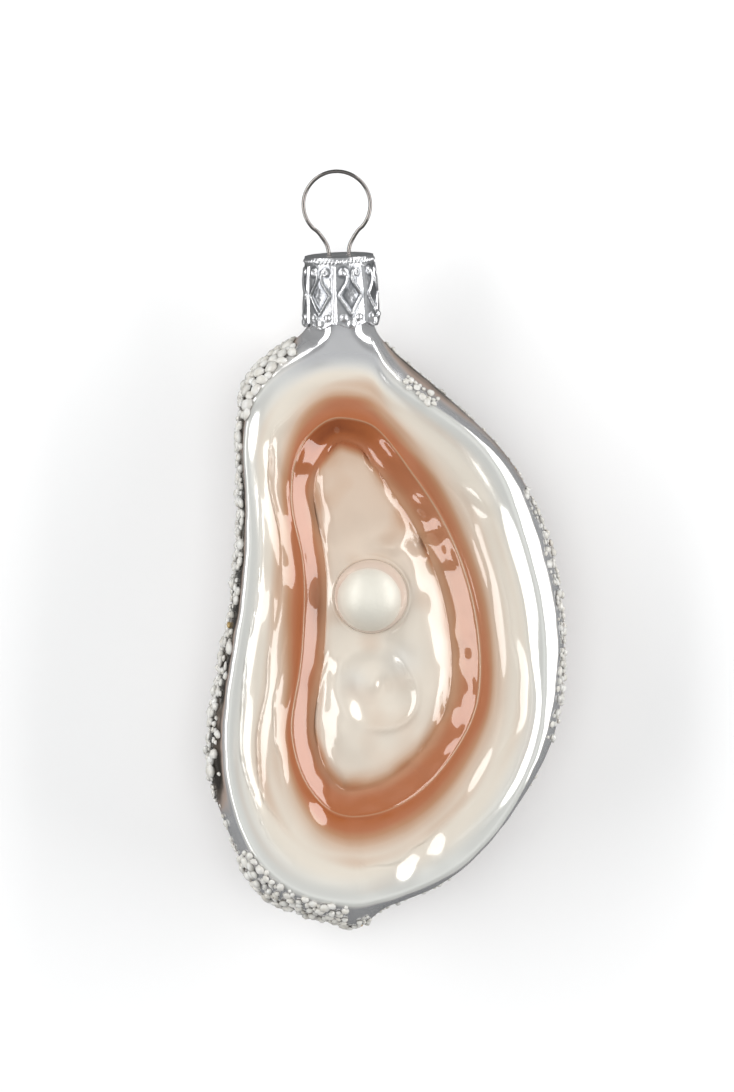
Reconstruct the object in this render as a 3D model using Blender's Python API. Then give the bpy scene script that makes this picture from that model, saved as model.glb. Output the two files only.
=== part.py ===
"""Tree ornament of silvered blown glass: an oyster on the half shell that holds a pearl.

The ornament lies on its back with the open side up. +X is its right, +Y runs to the cap, and +Z is up.
The origin is on the resting face, under the middle of the whole ornament's box. Lengths are in millimetres
until a mesh is made, where MM turns them into metres.
"""

import math
import random

import bmesh
import bpy
import numpy as np
from mathutils import Matrix, Vector, noise

MM = 0.001
CENTRING = Vector((0.12, 0.25, 0.0))  # brings the middle of the whole box over the origin

# Stations run clockwise round the shell, seen from above, from the middle of the neck's root. Each row holds
# x and y of the silhouette, x and y of the crest that rings the inner hollow, and the share of the way
# from the one to the other at which the lip stands.
STATIONS = [
    (-7.1, 36.7, -6.5, 21.0, 0.34),
    (-1.8, 36.7, -3.2, 20.3, 0.37),
    (0.5, 32.2, -0.7, 18.6, 0.34),
    (6.1, 27.4, 1.9, 15.4, 0.30),
    (13.4, 21.0, 4.6, 11.6, 0.20),
    (20.1, 13.7, 7.9, 6.7, 0.12),
    (25.4, 3.0, 11.6, -0.9, 0.14),
    (28.2, -9.9, 14.3, -10.8, 0.17),
    (28.1, -22.7, 14.9, -21.3, 0.19),
    (25.5, -33.2, 12.7, -29.1, 0.17),
    (17.8, -45.3, 7.3, -36.7, 0.11),
    (8.7, -53.7, 1.1, -41.1, 0.15),
    (-0.1, -57.7, -3.8, -42.4, 0.18),
    (-4.6, -60.8, -6.9, -42.3, 0.28),
    (-12.2, -58.7, -10.0, -40.7, 0.23),
    (-19.9, -55.4, -13.2, -36.3, 0.25),
    (-24.7, -46.6, -14.8, -31.2, 0.20),
    (-28.2, -35.6, -15.0, -26.4, 0.25),
    (-27.1, -22.7, -13.9, -20.0, 0.21),
    (-24.8, -9.9, -13.2, -12.7, 0.20),
    (-23.4, 4.6, -13.2, -2.4, 0.20),
    (-23.5, 17.4, -14.8, 5.4, 0.17),
    (-22.0, 26.6, -14.9, 11.9, 0.21),
    (-16.9, 31.7, -13.0, 17.3, 0.23),
    (-12.4, 36.7, -9.5, 20.5, 0.36),
]
AROUND = len(STATIONS)
NECK_SIDE = 1  # stations 1 and AROUND - 1 are the two sides of the neck's root
TIP = 13  # the station at the pointed end

# Heights above the resting face
SEAM_Z = 14.0  # the silhouette, where front and back meet
LIP_Z = 23.6
LIP_NECK_DROP = 3.2  # how much lower the face is where it runs up into the neck
CREST_Z = 19.4
CUSHION_TOP = 18.8
SCAR_CENTRE = Vector((-1.5, -21.8, 0.0))  # the round scar on the cushion, below the pearl
SCAR_RADIUS = 6.6

# Hollow, with its wall and its raised cushion
WALL_RUN = 3.95
WALL_RUN_SWING = 0.45  # the right and lower walls are wider than the left ones
WALL_FALL = 1.8
WALL_FALL_SWING = 0.15  # the right side is deeper than the left one
WALL_TOP_ROUND = 0.18
WALL_FOOT = 0.8  # width of the rounded foot
WALL_FOOT_ROUND = 0.35
CUSHION_SHOULDER = 2.9
CUSHION_SHOULDER_SWING = 0.9
DISH_STEP = 0.9  # fall just inside the lip
DISH_STEP_RUN = 1.5

# Resting foot on the back
FOOT_CENTRE = Vector((-2.0, -17.0, 0.0))
FOOT_HALF_WIDTH = 7.5
FOOT_HALF_LENGTH = 13.0
BOWL_DEEPEST_Y = -15.0
BOWL_DEPTH = 15.3  # below the silhouette; where it would go under the foot it's cut flat
BACK_RIDGES = 3
BACK_RIDGE_HEIGHT = 0.7

# Neck, which the cap sits on
NECK_ROOT = Vector((-7.1, 36.7, 15.2))
NECK_RADIUS = 5.2
NECK_TOP_RADIUS = 4.7
NECK_LENGTH = 9.2
NECK_BORE_RADIUS = 3.8
NECK_BORE_DEPTH = 8.0
NECK_LEAN = math.radians(2.3)  # towards -X
NECK_LIFT = math.radians(6.0)  # towards +Z

# Pearl and its socket
PEARL = Vector((-2.4, -7.4, 18.1))
PEARL_RADIUS = 5.9
PEARL_GAP = 0.4
SEAT_Z = 17.9

# Cap of pressed sheet metal
CAP_BELOW_ROOT = 0.25
CAP_HEIGHT = 10.4
CAP_FOOT_RADIUS = 5.95
CAP_WAIST_RADIUS = 5.85
CAP_TOP_RADIUS = 5.45
CAP_SHEET = 0.35
CAP_PANELS = 7
CAP_PANEL_COLUMNS = 10
CAP_ROWS = (0.0, 0.06, 0.13, 0.22, 0.36, 0.49, 0.62, 0.76, 0.86, 0.95, 1.0)
CAP_SCALLOP = 0.8
CAP_RIB = 0.2
CAP_LOZENGE = 0.28
CAP_TURN = math.radians(70)  # a panel faces the front, a little to the right

# Wire loop
WIRE_RADIUS = 0.3
LOOP_RADIUS = 5.3
LOOP_TOP = 13.3  # centre line, above the cap's top
LEG_SPREAD = 1.6
LEG_DEPTH = 5.5
WIRE_HOLE_RADIUS = 0.65

# Meshes
SPAN = 4  # columns between two stations
GRAIN_SEED = 11

# Bands of glass grains: stations from and to, shares of the way from the silhouette to the lip (or, below
# zero, from the silhouette down the back), and how many.
GRAIN_BANDS = [
    (16.9, 23.2, -0.10, 0.62, 46),
    (22.0, 23.4, 0.30, 0.95, 7),
    (13.2, 15.9, -0.05, 0.80, 24),
    (4.8, 8.8, 0.10, 0.80, 18),
    (2.8, 3.5, 0.45, 0.85, 4),
    (1.9, 5.0, -0.16, 0.02, 6),
    (9.2, 12.4, -0.14, 0.06, 12),
]
GRAIN_LARGE = 0.72
GRAIN_SMALL = 0.42


def smooth(x):
    """Smooth step from 0 at 0 to 1 at 1."""
    x = min(1.0, max(0.0, x))
    return x * x * (3 - 2 * x)


def soft_ramp(x, width):
    """A ramp that is 0 below 0 and x above it, rounded over about the given width."""
    if x > 30 * width:
        return x
    return width * math.log1p(math.exp(x / width))


def controls(points):
    """Control points of the closed cubic B-spline that passes through the points."""
    count = len(points)
    weights = np.zeros((count, count))
    for i in range(count):
        weights[i, i] = 4 / 6
        weights[i, i - 1] = weights[i, (i + 1) % count] = 1 / 6
    return [Vector(row) for row in np.linalg.solve(weights, np.array(points))]


def spline(control, u):
    """Closed cubic B-spline at station u."""
    i = math.floor(u)
    t = u - i
    p0, p1, p2, p3 = (control[(i + k) % len(control)] for k in (-1, 0, 1, 2))
    return (
        p0 * (1 - t) ** 3
        + p1 * (3 * t**3 - 6 * t**2 + 4)
        + p2 * (3 * t**2 + 3 * t + 1 - 3 * t**3)
        + p3 * t**3
    ) / 6


def hermite(start, leave, end, arrive, s):
    """Cubic from start to end that leaves and arrives along the two given tangents."""
    a = 2 * s**3 - 3 * s**2 + 1
    b = s**3 - 2 * s**2 + s
    c = s**3 - s**2
    return a * start + b * leave + (1 - a) * end + c * arrive


def from_neck(u):
    """Stations between u and the middle of the neck's root, signed, from -AROUND / 2 to AROUND / 2."""
    return (u + AROUND / 2) % AROUND - AROUND / 2


def neck_axis():
    """Direction in which the neck, the cap and the loop stand."""
    level = math.cos(NECK_LIFT)
    return Vector((-math.sin(NECK_LEAN) * level, math.cos(NECK_LEAN) * level, math.sin(NECK_LIFT)))


def neck_frame():
    """Placement of the neck's own frame: X to its right, Y down into its back, Z along its axis."""
    axis = neck_axis()
    right = axis.cross(Vector((0, 0, 1))).normalized()
    down = axis.cross(right)
    turn = Matrix((right, down, axis)).transposed().to_4x4()
    return Matrix.Translation(NECK_ROOT) @ turn


def neck_point(angle, radius, along):
    """Point on the neck: angle 0 is its right side and 90 degrees its front."""
    local = Vector((radius * math.cos(angle), -radius * math.sin(angle), along))
    return neck_frame() @ local


def seam_height(station):
    """Height of the silhouette, which waves a little and meets the neck's axis at its root."""
    wave = 0.8 * math.sin(0.9 * station) + 0.5 * math.sin(2.3 * station + 1)
    return SEAM_Z + wave * smooth((abs(from_neck(station)) - 1) / 3)


def lip_height(station):
    """Height of the lip, lower where the face runs up into the neck."""
    near_neck = math.exp(-((from_neck(station) / 2.0) ** 2))
    wave = 0.35 * math.sin(1.4 * station) + 0.2 * math.sin(3.1 * station)
    return LIP_Z - LIP_NECK_DROP * near_neck + wave * (1 - near_neck)


def crest_height(u):
    """Height of the crest round the hollow, a little lower at the bottom right."""
    turn = 2 * math.pi * u / AROUND
    return CREST_Z + 0.2 * math.cos(turn - 5.2) + 0.15 * math.sin(3 * turn)


RIM_POINTS = [Vector((row[0], row[1], seam_height(i))) for i, row in enumerate(STATIONS)]
RIM_POINTS[NECK_SIDE] = neck_point(0, NECK_RADIUS, 0)
RIM_POINTS[-NECK_SIDE] = neck_point(math.pi, NECK_RADIUS, 0)
CREST_POINTS = [Vector((row[2], row[3], 0.0)) for row in STATIONS]
LIP_POINTS = [
    Vector((*rim.lerp(crest, row[4]).xy, lip_height(i)))
    for i, (rim, crest, row) in enumerate(zip(RIM_POINTS, CREST_POINTS, STATIONS))
]
# The flanks run on a little way up the neck, so that they leave it along its axis.
UP_THE_NECK = [RIM_POINTS[-NECK_SIDE] + 4.5 * neck_axis(), RIM_POINTS[NECK_SIDE] + 4.5 * neck_axis()]
FLANKS = controls(UP_THE_NECK[1:] + RIM_POINTS[NECK_SIDE:] + UP_THE_NECK[:1])
CREST = controls(CREST_POINTS)
LIP = controls(LIP_POINTS)


def rim_point(u, side):
    """Point on the silhouette, or, at the neck's root, on its circle: side is 1 for the front, -1 for the back."""
    offset = from_neck(u)
    if abs(offset) <= NECK_SIDE:
        return neck_point(side * (1 - offset) * math.pi / 2, NECK_RADIUS, 0)
    return spline(FLANKS, u % AROUND)


def leaving(u, along, across):
    """Tangent with which the front leaves the silhouette: down the neck at its root, up elsewhere.

    The two lengths are those of the tangents along the neck and across the silhouette. Both lie in the skin,
    so that front, back and neck meet without a crease.
    """
    offset = from_neck(u)
    share = 1 - smooth((abs(offset) - 0.35) / 1.3)
    down_neck = -neck_axis()
    if abs(offset) <= NECK_SIDE:
        angle = (1 - offset) * math.pi / 2
        towards = 1 if offset > 0 else -1
        around = neck_frame().to_3x3() @ Vector((-math.sin(angle), -math.cos(angle), 0))
        return along * share * down_neck + across * (1 - share) * towards * around
    flank = math.copysign(1, offset) * (rim_point(u + 0.05, 1) - rim_point(u - 0.05, 1)).normalized()
    down_flank = down_neck.lerp(flank, smooth(abs(offset) - NECK_SIDE))
    return along * share * down_flank + Vector((0, 0, across * (1 - share)))


def lip_point(u):
    return spline(LIP, u)


def crest_point(u):
    point = spline(CREST, u)
    point.z = crest_height(u)
    return point


def outer_wall(u, s):
    """Outer wall from the silhouette, s = 0, up to the lip, s = 1."""
    start = rim_point(u, 1)
    end = lip_point(u)
    reach = (end - start).length
    inward = (crest_point(u) - end).xy.normalized().to_3d()
    leave = leaving(u, 1.1 * reach, 1.4 * reach)
    arrive = inward * (1.3 * (end - start).xy.length)
    return hermite(start, leave, end, arrive, s)


def leftness(u):
    """1 on the left side of the hollow and -1 on its right."""
    return math.cos(2 * math.pi * u / AROUND - 4.75)


def wall_run(u):
    """Width of the hollow's wall with its rounded foot, seen from above."""
    return WALL_RUN - WALL_RUN_SWING * leftness(u)


def wall_drop(u, inward):
    """How far the surface has dropped, at a distance inward of the crest."""
    run = wall_run(u) - WALL_FOOT
    slope = (WALL_FALL - WALL_FALL_SWING * leftness(u)) / run
    return slope * (soft_ramp(inward, WALL_TOP_ROUND) - soft_ramp(inward - run, WALL_FOOT_ROUND))


def folds(u, s):
    """Growth folds of the dish, which run along the lip: three on the right and three on the left."""
    height = 0.0
    for first, last, place, drift, rise in (
        (5.2, 11.0, 0.26, 0.08, 0.55),
        (6.0, 10.4, 0.50, 0.05, 0.45),
        (7.0, 9.8, 0.70, -0.05, 0.30),
        (15.0, 21.5, 0.30, 0.06, 0.50),
        (15.4, 20.5, 0.55, -0.05, 0.50),
        (17.2, 23.0, 0.78, 0.04, 0.35),
    ):
        along = (u - first) / (last - first)
        if 0 < along < 1:
            middle = place + drift * math.sin(7 * along)
            height += rise * math.sin(math.pi * along) ** 0.7 * math.exp(-(((s - middle) / 0.09) ** 2))
    return height


def dish_point(u, s):
    """Slope from the lip, s = 0, in to the crest of the hollow, s = 1: a small step, then a gentle fall."""
    lip = lip_point(u)
    crest = crest_point(u)
    width = (crest - lip).xy.length
    point = lip.lerp(crest, s)
    point.z -= DISH_STEP * (1 - math.exp(-((s * width / DISH_STEP_RUN) ** 2)) - s)
    point.z += folds(u, s) - wall_drop(u, (s - 1) * width)
    return point


def hollow_wall(u, inward):
    """Wall of the hollow, at a distance inward of its crest."""
    along = spline(CREST, u + 0.5) - spline(CREST, u - 0.5)
    normal = Vector((along.y, -along.x, 0)).normalized()
    point = crest_point(u) + normal * inward
    point.z -= wall_drop(u, inward)
    return point


def cushion_bumps(x, y):
    """Soft swells on the cushion: a ridge right of the pearl, one above it and the round scar below it."""
    height = 0.0
    for bump_x, bump_y, wide, long, rise in (
        (5.2, -6.0, 2.6, 7.5, 0.5),
        (-7.0, 9.0, 3.2, 6.0, 0.4),
        (0.5, 5.5, 2.2, 3.0, -0.4),
        (-7.0, -27.0, 2.8, 6.0, 0.4),
        (4.5, -28.0, 2.8, 5.0, 0.3),
    ):
        height += rise * math.exp(-(((x - bump_x) / wide) ** 2) - ((y - bump_y) / long) ** 2)
    from_scar = math.hypot(x - SCAR_CENTRE.x, y - SCAR_CENTRE.y)
    rim = 0.3 * math.exp(-((from_scar - SCAR_RADIUS) ** 2)) - 0.4 * smooth((SCAR_RADIUS - from_scar) / 4)
    return height + rim * smooth((SCAR_CENTRE.y + 7.3 - y) / 4)


def seat_angle(u):
    """Direction from the pearl to the hollow's crest at station u."""
    away = spline(CREST, u) - PEARL
    return math.atan2(away.y, away.x)


def cushion_point(u, s):
    """Raised cushion from the foot of the hollow's wall, s = 0, in to the edge of the pearl's socket, s = 1."""
    foot = hollow_wall(u, wall_run(u))
    socket_radius = PEARL_RADIUS + PEARL_GAP
    seat_radius = math.sqrt(socket_radius**2 - (PEARL.z - SEAT_Z) ** 2)
    angle = seat_angle(u)
    seat = Vector((PEARL.x + seat_radius * math.cos(angle), PEARL.y + seat_radius * math.sin(angle), SEAT_Z))
    point = foot.lerp(seat, s)
    inward = s * (seat - foot).xy.length
    shoulder = CUSHION_SHOULDER - CUSHION_SHOULDER_SWING * leftness(u)
    point.z = foot.z + (CUSHION_TOP - foot.z) * (1 - math.exp(-((inward / shoulder) ** 1.3)))
    point.z += cushion_bumps(point.x, point.y) * smooth(inward / 3)
    point.z += (SEAT_Z - point.z) * smooth((s - 0.7) / 0.3)
    return point


def socket_point(u, s):
    """Round socket under the pearl, from its edge, s = 0, towards its lowest point, s = 1."""
    radius = PEARL_RADIUS + PEARL_GAP
    edge = math.asin((PEARL.z - SEAT_Z) / radius)
    dip = edge + s * (math.pi / 2 - edge)
    angle = seat_angle(u)
    flat = radius * math.cos(dip)
    return PEARL + Vector((flat * math.cos(angle), flat * math.sin(angle), -radius * math.sin(dip)))


def flank_table(first, last):
    """Samples of one flank from the neck down to the tip, as rows of y, x and z in order of rising y."""
    samples = [rim_point(first + (last - first) * k / 300, -1) for k in range(301)]
    samples.sort(key=lambda sample: sample.y)
    return np.array([(sample.y, sample.x, sample.z) for sample in samples]).T


RIGHT_FLANK = flank_table(NECK_SIDE, TIP)
LEFT_FLANK = flank_table(AROUND - NECK_SIDE, TIP)


def keel_height(y):
    """Height of the lowest line of the back, before the foot cuts it flat."""
    lowest = SEAM_Z - BOWL_DEPTH
    if y < BOWL_DEEPEST_Y:
        share = min(1.0, (BOWL_DEEPEST_Y - y) / (BOWL_DEEPEST_Y - RIGHT_FLANK[0][0]))
        return SEAM_Z - BOWL_DEPTH * math.sqrt(1 - share**2.4)
    run = NECK_ROOT.y - BOWL_DEEPEST_Y
    rise = NECK_ROOT.z - NECK_RADIUS - lowest
    share = min(1.0, (y - BOWL_DEEPEST_Y) / run)
    slope = math.tan(NECK_LIFT) * run / rise
    return lowest + rise * ((3 - slope) * share**2 + (slope - 2) * share**3)


def bowl_height(x, y):
    """Height of the back, half an ellipse in each section across the shell."""
    right_x, right_z = (np.interp(y, RIGHT_FLANK[0], row) for row in RIGHT_FLANK[1:])
    left_x, left_z = (np.interp(y, LEFT_FLANK[0], row) for row in LEFT_FLANK[1:])
    across = (2 * x - left_x - right_x) / max(0.01, right_x - left_x)
    across = min(1.0, max(-1.0, across))
    seam = left_z + (right_z - left_z) * (across + 1) / 2
    return seam - (seam - keel_height(y)) * math.sqrt(1 - across**2)


def foot_angle(u):
    """Place on the foot's ellipse that faces the silhouette; near the neck the places are spread evenly."""
    offset = from_neck(u)
    if abs(offset) < 3:
        return foot_angle(-3) + (foot_angle(3) - foot_angle(-3)) * (offset + 3) / 6
    away = rim_point(u, -1) - FOOT_CENTRE
    return math.atan2(away.y / FOOT_HALF_LENGTH, away.x / FOOT_HALF_WIDTH)


def back_point(u, s):
    """Back of the shell from the silhouette, s = 0, round to the resting foot, s = 1, with growth ridges."""
    start = rim_point(u, -1)
    angle = foot_angle(u)
    foot = FOOT_CENTRE + Vector((FOOT_HALF_WIDTH * math.cos(angle), FOOT_HALF_LENGTH * math.sin(angle), 0))
    point = start.lerp(foot, 1 - math.cos(s * math.pi / 2))
    start_gap = start.z - bowl_height(start.x, start.y)
    point.z = bowl_height(point.x, point.y) + start_gap * (1 - smooth(s / 0.5))
    point.z = soft_ramp(point.z, 0.25) * (1 - smooth((s - 0.85) / 0.15))
    turn = 2 * math.pi * u / AROUND
    phase = s * BACK_RIDGES + 0.2 * math.sin(3 * turn) + 0.1 * math.sin(7 * turn)
    ridge = 0.5 - 0.5 * math.cos(2 * math.pi * phase)
    rough = noise.noise(Vector((point.x, point.y, 3)) / 9)
    fade = smooth(s / 0.15) * smooth((1 - s) / 0.3) * smooth((abs(from_neck(u)) - 0.8) / 2)
    outward = (point - Vector((FOOT_CENTRE.x, point.y * 0.8 - 2.7, SEAM_Z))).normalized()
    point += outward * (fade * BACK_RIDGE_HEIGHT * (ridge - 0.5 + 0.6 * rough))
    point.z = max(0.0, point.z)
    return point


def skin_point(u, s):
    """Outer skin: s above 0 goes up the outer wall to the lip, and s below 0 down the back."""
    return outer_wall(u, s) if s >= 0 else back_point(u, -s)


def place_in_world(vector):
    """The model's own millimetres, centred over the origin, in metres."""
    return (vector + CENTRING) * MM


def extrude_ring(bm, ring, points):
    """Extrudes a closed ring of vertices to the given points, and returns the new ring in the same order."""
    edges = [bm.edges.get((a, b)) for a, b in zip(ring, ring[1:] + ring[:1])]
    made = bmesh.ops.extrude_edge_only(bm, edges=edges)["geom"]
    fresh = {item for item in made if isinstance(item, bmesh.types.BMVert)}
    new_ring = []
    for vertex, point in zip(ring, points):
        twin = next(e.other_vert(vertex) for e in vertex.link_edges if e.other_vert(vertex) in fresh)
        twin.co = place_in_world(point)
        new_ring.append(twin)
    return new_ring


def new_object(name, bm, material):
    """Finishes a bmesh as a named object with one material, its normals out and its round parts smooth."""
    bmesh.ops.recalc_face_normals(bm, faces=bm.faces)
    mesh = bpy.data.meshes.new(name)
    bm.to_mesh(mesh)
    bm.free()
    mesh.materials.append(material)
    mesh.shade_smooth()
    mesh.set_sharp_from_angle(angle=math.radians(50))
    obj = bpy.data.objects.new(name, mesh)
    bpy.context.scene.collection.objects.link(obj)
    return obj


def new_material(name, colour, roughness, metallic):
    material = bpy.data.materials.new(name)
    material.use_nodes = True
    shader = material.node_tree.nodes["Principled BSDF"]
    shader.inputs["Base Color"].default_value = (*colour, 1)
    shader.inputs["Roughness"].default_value = roughness
    shader.inputs["Metallic"].default_value = metallic
    return material


def ring_of(surface, s):
    """Points of one surface at a constant s, all the way round."""
    return [surface(k / SPAN, s) for k in range(AROUND * SPAN)]


def build_shell(material):
    """The blown-glass body with its neck: one closed solid, without the grains."""
    bm = bmesh.new()
    count = AROUND * SPAN
    neck_half = NECK_SIDE * SPAN

    def is_behind_neck(k):
        return k < neck_half or k > count - neck_half

    front = [bm.verts.new(place_in_world(rim_point(k / SPAN, 1))) for k in range(count)]
    back = [
        bm.verts.new(place_in_world(rim_point(k / SPAN, -1))) if is_behind_neck(k) else front[k]
        for k in range(count)
    ]
    for ring in (front, back):
        for a, b in zip(ring, ring[1:] + ring[:1]):
            if bm.edges.get((a, b)) is None:
                bm.edges.new((a, b))

    ring = front
    for s in (0.33, 0.68, 1.0):
        ring = extrude_ring(bm, ring, ring_of(outer_wall, s))
    for s in (0.16, 0.32, 0.48, 0.64, 0.82, 1.0):
        ring = extrude_ring(bm, ring, ring_of(dish_point, s))
    for share in (0.2, 0.6, 1.0):
        ring = extrude_ring(bm, ring, ring_of(lambda u, t: hollow_wall(u, t * wall_run(u)), share))
    for s in (0.13, 0.28, 0.48, 0.7, 1.0):
        ring = extrude_ring(bm, ring, ring_of(cushion_point, s))
    for s in (0.3, 0.6, 0.9):
        ring = extrude_ring(bm, ring, ring_of(socket_point, s))
    bmesh.ops.contextual_create(bm, geom=ring)

    ring = back
    for s in (0.14, 0.28, 0.42, 0.56, 0.7, 0.85, 1.0):
        ring = extrude_ring(bm, ring, ring_of(back_point, s))
    bmesh.ops.contextual_create(bm, geom=ring)

    over = front[-neck_half:] + front[: neck_half + 1]
    under = back[-neck_half + 1 :] + back[:neck_half]
    ring = over + under[::-1]
    angles = [math.pi * (1 - k / (2 * neck_half)) for k in range(2 * neck_half + 1)]
    angles += [-math.pi * k / (2 * neck_half) for k in range(1, 2 * neck_half)]
    for along, radius in (
        (0.45 * NECK_LENGTH, 0.5 * (NECK_RADIUS + NECK_TOP_RADIUS)),
        (NECK_LENGTH, NECK_TOP_RADIUS),
        (NECK_LENGTH, NECK_BORE_RADIUS),
        (NECK_LENGTH - NECK_BORE_DEPTH, NECK_BORE_RADIUS),
    ):
        ring = extrude_ring(bm, ring, [neck_point(a, radius, along) for a in angles])
    bmesh.ops.contextual_create(bm, geom=ring)
    return new_object("glass_oyster", bm, material)


def grain_places():
    """Place on the outer skin and radius of each glass grain, the largest first in each band."""
    draw = random.Random(GRAIN_SEED)
    placed = []
    for first, last, low, high, count in GRAIN_BANDS:
        for k in range(count):
            radius = GRAIN_LARGE + (GRAIN_SMALL - GRAIN_LARGE) * k / count
            for _ in range(40):
                u = draw.uniform(first, last)
                s = draw.uniform(low, high)
                point = skin_point(u, s)
                if all((point - other).length > 0.95 * (radius + size) for other, size in placed):
                    placed.append((point, radius))
                    break
    return placed


def fuse_grains(shell, material):
    """Joins irregular grains to the outer skin with one union."""
    draw = random.Random(GRAIN_SEED + 1)
    group = bpy.data.collections.new("grains")
    bpy.context.scene.collection.children.link(group)
    for number, (point, radius) in enumerate(grain_places()):
        bm = bmesh.new()
        bmesh.ops.create_icosphere(bm, subdivisions=1, radius=radius * MM)
        stretch = Vector((draw.uniform(0.8, 1.25), draw.uniform(0.8, 1.1), draw.uniform(0.75, 1.0)))
        _, spot, normal, _ = shell.closest_point_on_mesh(place_in_world(point))
        turn = normal.to_track_quat("Z", "Y").to_matrix().to_4x4() @ Matrix.Rotation(draw.uniform(0, 6), 4, "Z")
        centre = spot + normal * (0.25 * radius * MM)
        bmesh.ops.transform(bm, matrix=turn @ Matrix.Diagonal((*stretch, 1)), verts=bm.verts)
        bmesh.ops.translate(bm, vec=centre, verts=bm.verts)
        grain = new_object(f"grain_{number}", bm, material)
        bpy.context.scene.collection.objects.unlink(grain)
        group.objects.link(grain)
    union = shell.modifiers.new("fuse grains", "BOOLEAN")
    union.operation = "UNION"
    union.operand_type = "COLLECTION"
    union.collection = group
    union.solver = "EXACT"
    bpy.context.view_layer.objects.active = shell
    bpy.ops.object.modifier_apply(modifier=union.name)
    for grain in list(group.objects):
        bpy.data.objects.remove(grain)
    bpy.data.collections.remove(group)


def build_pearl(material):
    bm = bmesh.new()
    bmesh.ops.create_uvsphere(bm, u_segments=24, v_segments=12, radius=PEARL_RADIUS * MM)
    pearl = new_object("pearl", bm, material)
    pearl.location = place_in_world(PEARL)
    return pearl


def cap_radius(height):
    """Outer radius of the plain cap at a height above its foot."""
    share = height / CAP_HEIGHT
    if share < 0.5:
        return CAP_FOOT_RADIUS + (CAP_WAIST_RADIUS - CAP_FOOT_RADIUS) * smooth(share / 0.5)
    return CAP_WAIST_RADIUS + (CAP_TOP_RADIUS - CAP_WAIST_RADIUS) * smooth((share - 0.5) / 0.5)


def cap_relief(across, share):
    """Pressed relief: a rib at each panel's edge, a lozenge in its middle, and a bead along foot and top."""
    rib = CAP_RIB * math.exp(-(((0.5 - abs(across)) / 0.05) ** 2))
    lozenge = CAP_LOZENGE * max(0.0, 1 - abs(across) / 0.36 - abs(share - 0.48) / 0.32)
    bead = 0.18 * math.exp(-(((share - 0.95) / 0.04) ** 2)) + 0.2 * math.exp(-(((share - 0.06) / 0.06) ** 2))
    return rib + lozenge + bead


def build_cap(material):
    """Sheet-metal cap over the neck: seven pressed panels, a scalloped foot and two wire holes in its top."""
    bm = bmesh.new()
    count = CAP_PANELS * CAP_PANEL_COLUMNS
    angles = [2 * math.pi * k / count for k in range(count)]

    def across(k):
        return (k / CAP_PANEL_COLUMNS) % 1 - 0.5

    def foot(k):
        return -CAP_SCALLOP * math.cos(math.pi * across(k)) ** 2

    def outer(share):
        rows = []
        for k, angle in enumerate(angles):
            height = foot(k) + (CAP_HEIGHT - foot(k)) * share
            radius = cap_radius(max(0.0, height)) + cap_relief(across(k), share)
            rows.append(Vector((radius * math.cos(angle), radius * math.sin(angle), height)))
        return rows

    def circle(radius, height):
        return [Vector((radius * math.cos(a), radius * math.sin(a), height)) for a in angles]

    def ring_at(points):
        return [bm.verts.new(p * MM) for p in points]

    rings = [ring_at(outer(share)) for share in CAP_ROWS]
    rings.append(ring_at(circle(CAP_TOP_RADIUS - 0.5, CAP_HEIGHT + 0.05)))
    top = ring_at(circle(3.0, CAP_HEIGHT + 0.05))
    ceiling = ring_at(circle(CAP_TOP_RADIUS - CAP_SHEET, CAP_HEIGHT - CAP_SHEET))
    skirt = [
        Vector((*(p.xy.normalized() * (CAP_WAIST_RADIUS - CAP_SHEET)), p.z)) for p in outer(0)
    ]
    rings.append(top)
    under = [ceiling, ring_at(circle(CAP_WAIST_RADIUS - CAP_SHEET, 0.45 * CAP_HEIGHT)), ring_at(skirt), rings[0]]
    for lower, upper in list(zip(rings, rings[1:])) + list(zip(under, under[1:])):
        for k in range(count):
            bm.faces.new((lower[k], lower[k - 1], upper[k - 1], upper[k]))
    bm.faces.new(top)
    bm.faces.new(ceiling)
    cap = new_object("cap", bm, material)
    cap.matrix_world = cap_placement() @ Matrix.Rotation(CAP_TURN, 4, "Z")
    for side in (-1, 1):
        cut_wire_hole(cap, side)
    return cap


def cap_placement():
    """The neck's frame, moved down to the cap's foot, in metres."""
    frame = neck_frame()
    root = frame @ Vector((0, 0, -CAP_BELOW_ROOT))
    return Matrix.Translation(place_in_world(root)) @ frame.to_3x3().to_4x4()


def cut_wire_hole(cap, side):
    """One hole through the cap's top, where a leg of the wire goes in."""
    bm = bmesh.new()
    bmesh.ops.create_cone(
        bm,
        cap_ends=True,
        segments=12,
        radius1=WIRE_HOLE_RADIUS * MM,
        radius2=WIRE_HOLE_RADIUS * MM,
        depth=3 * MM,
    )
    drill = new_object("drill", bm, cap.data.materials[0])
    drill.matrix_world = cap_placement() @ Matrix.Translation(Vector((side * LEG_SPREAD, 0, CAP_HEIGHT)) * MM)
    bpy.context.view_layer.update()
    hole = cap.modifiers.new("wire hole", "BOOLEAN")
    hole.operation = "DIFFERENCE"
    hole.object = drill
    hole.solver = "EXACT"
    bpy.context.view_layer.objects.active = cap
    bpy.ops.object.modifier_apply(modifier=hole.name)
    bpy.data.objects.remove(drill)


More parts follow.
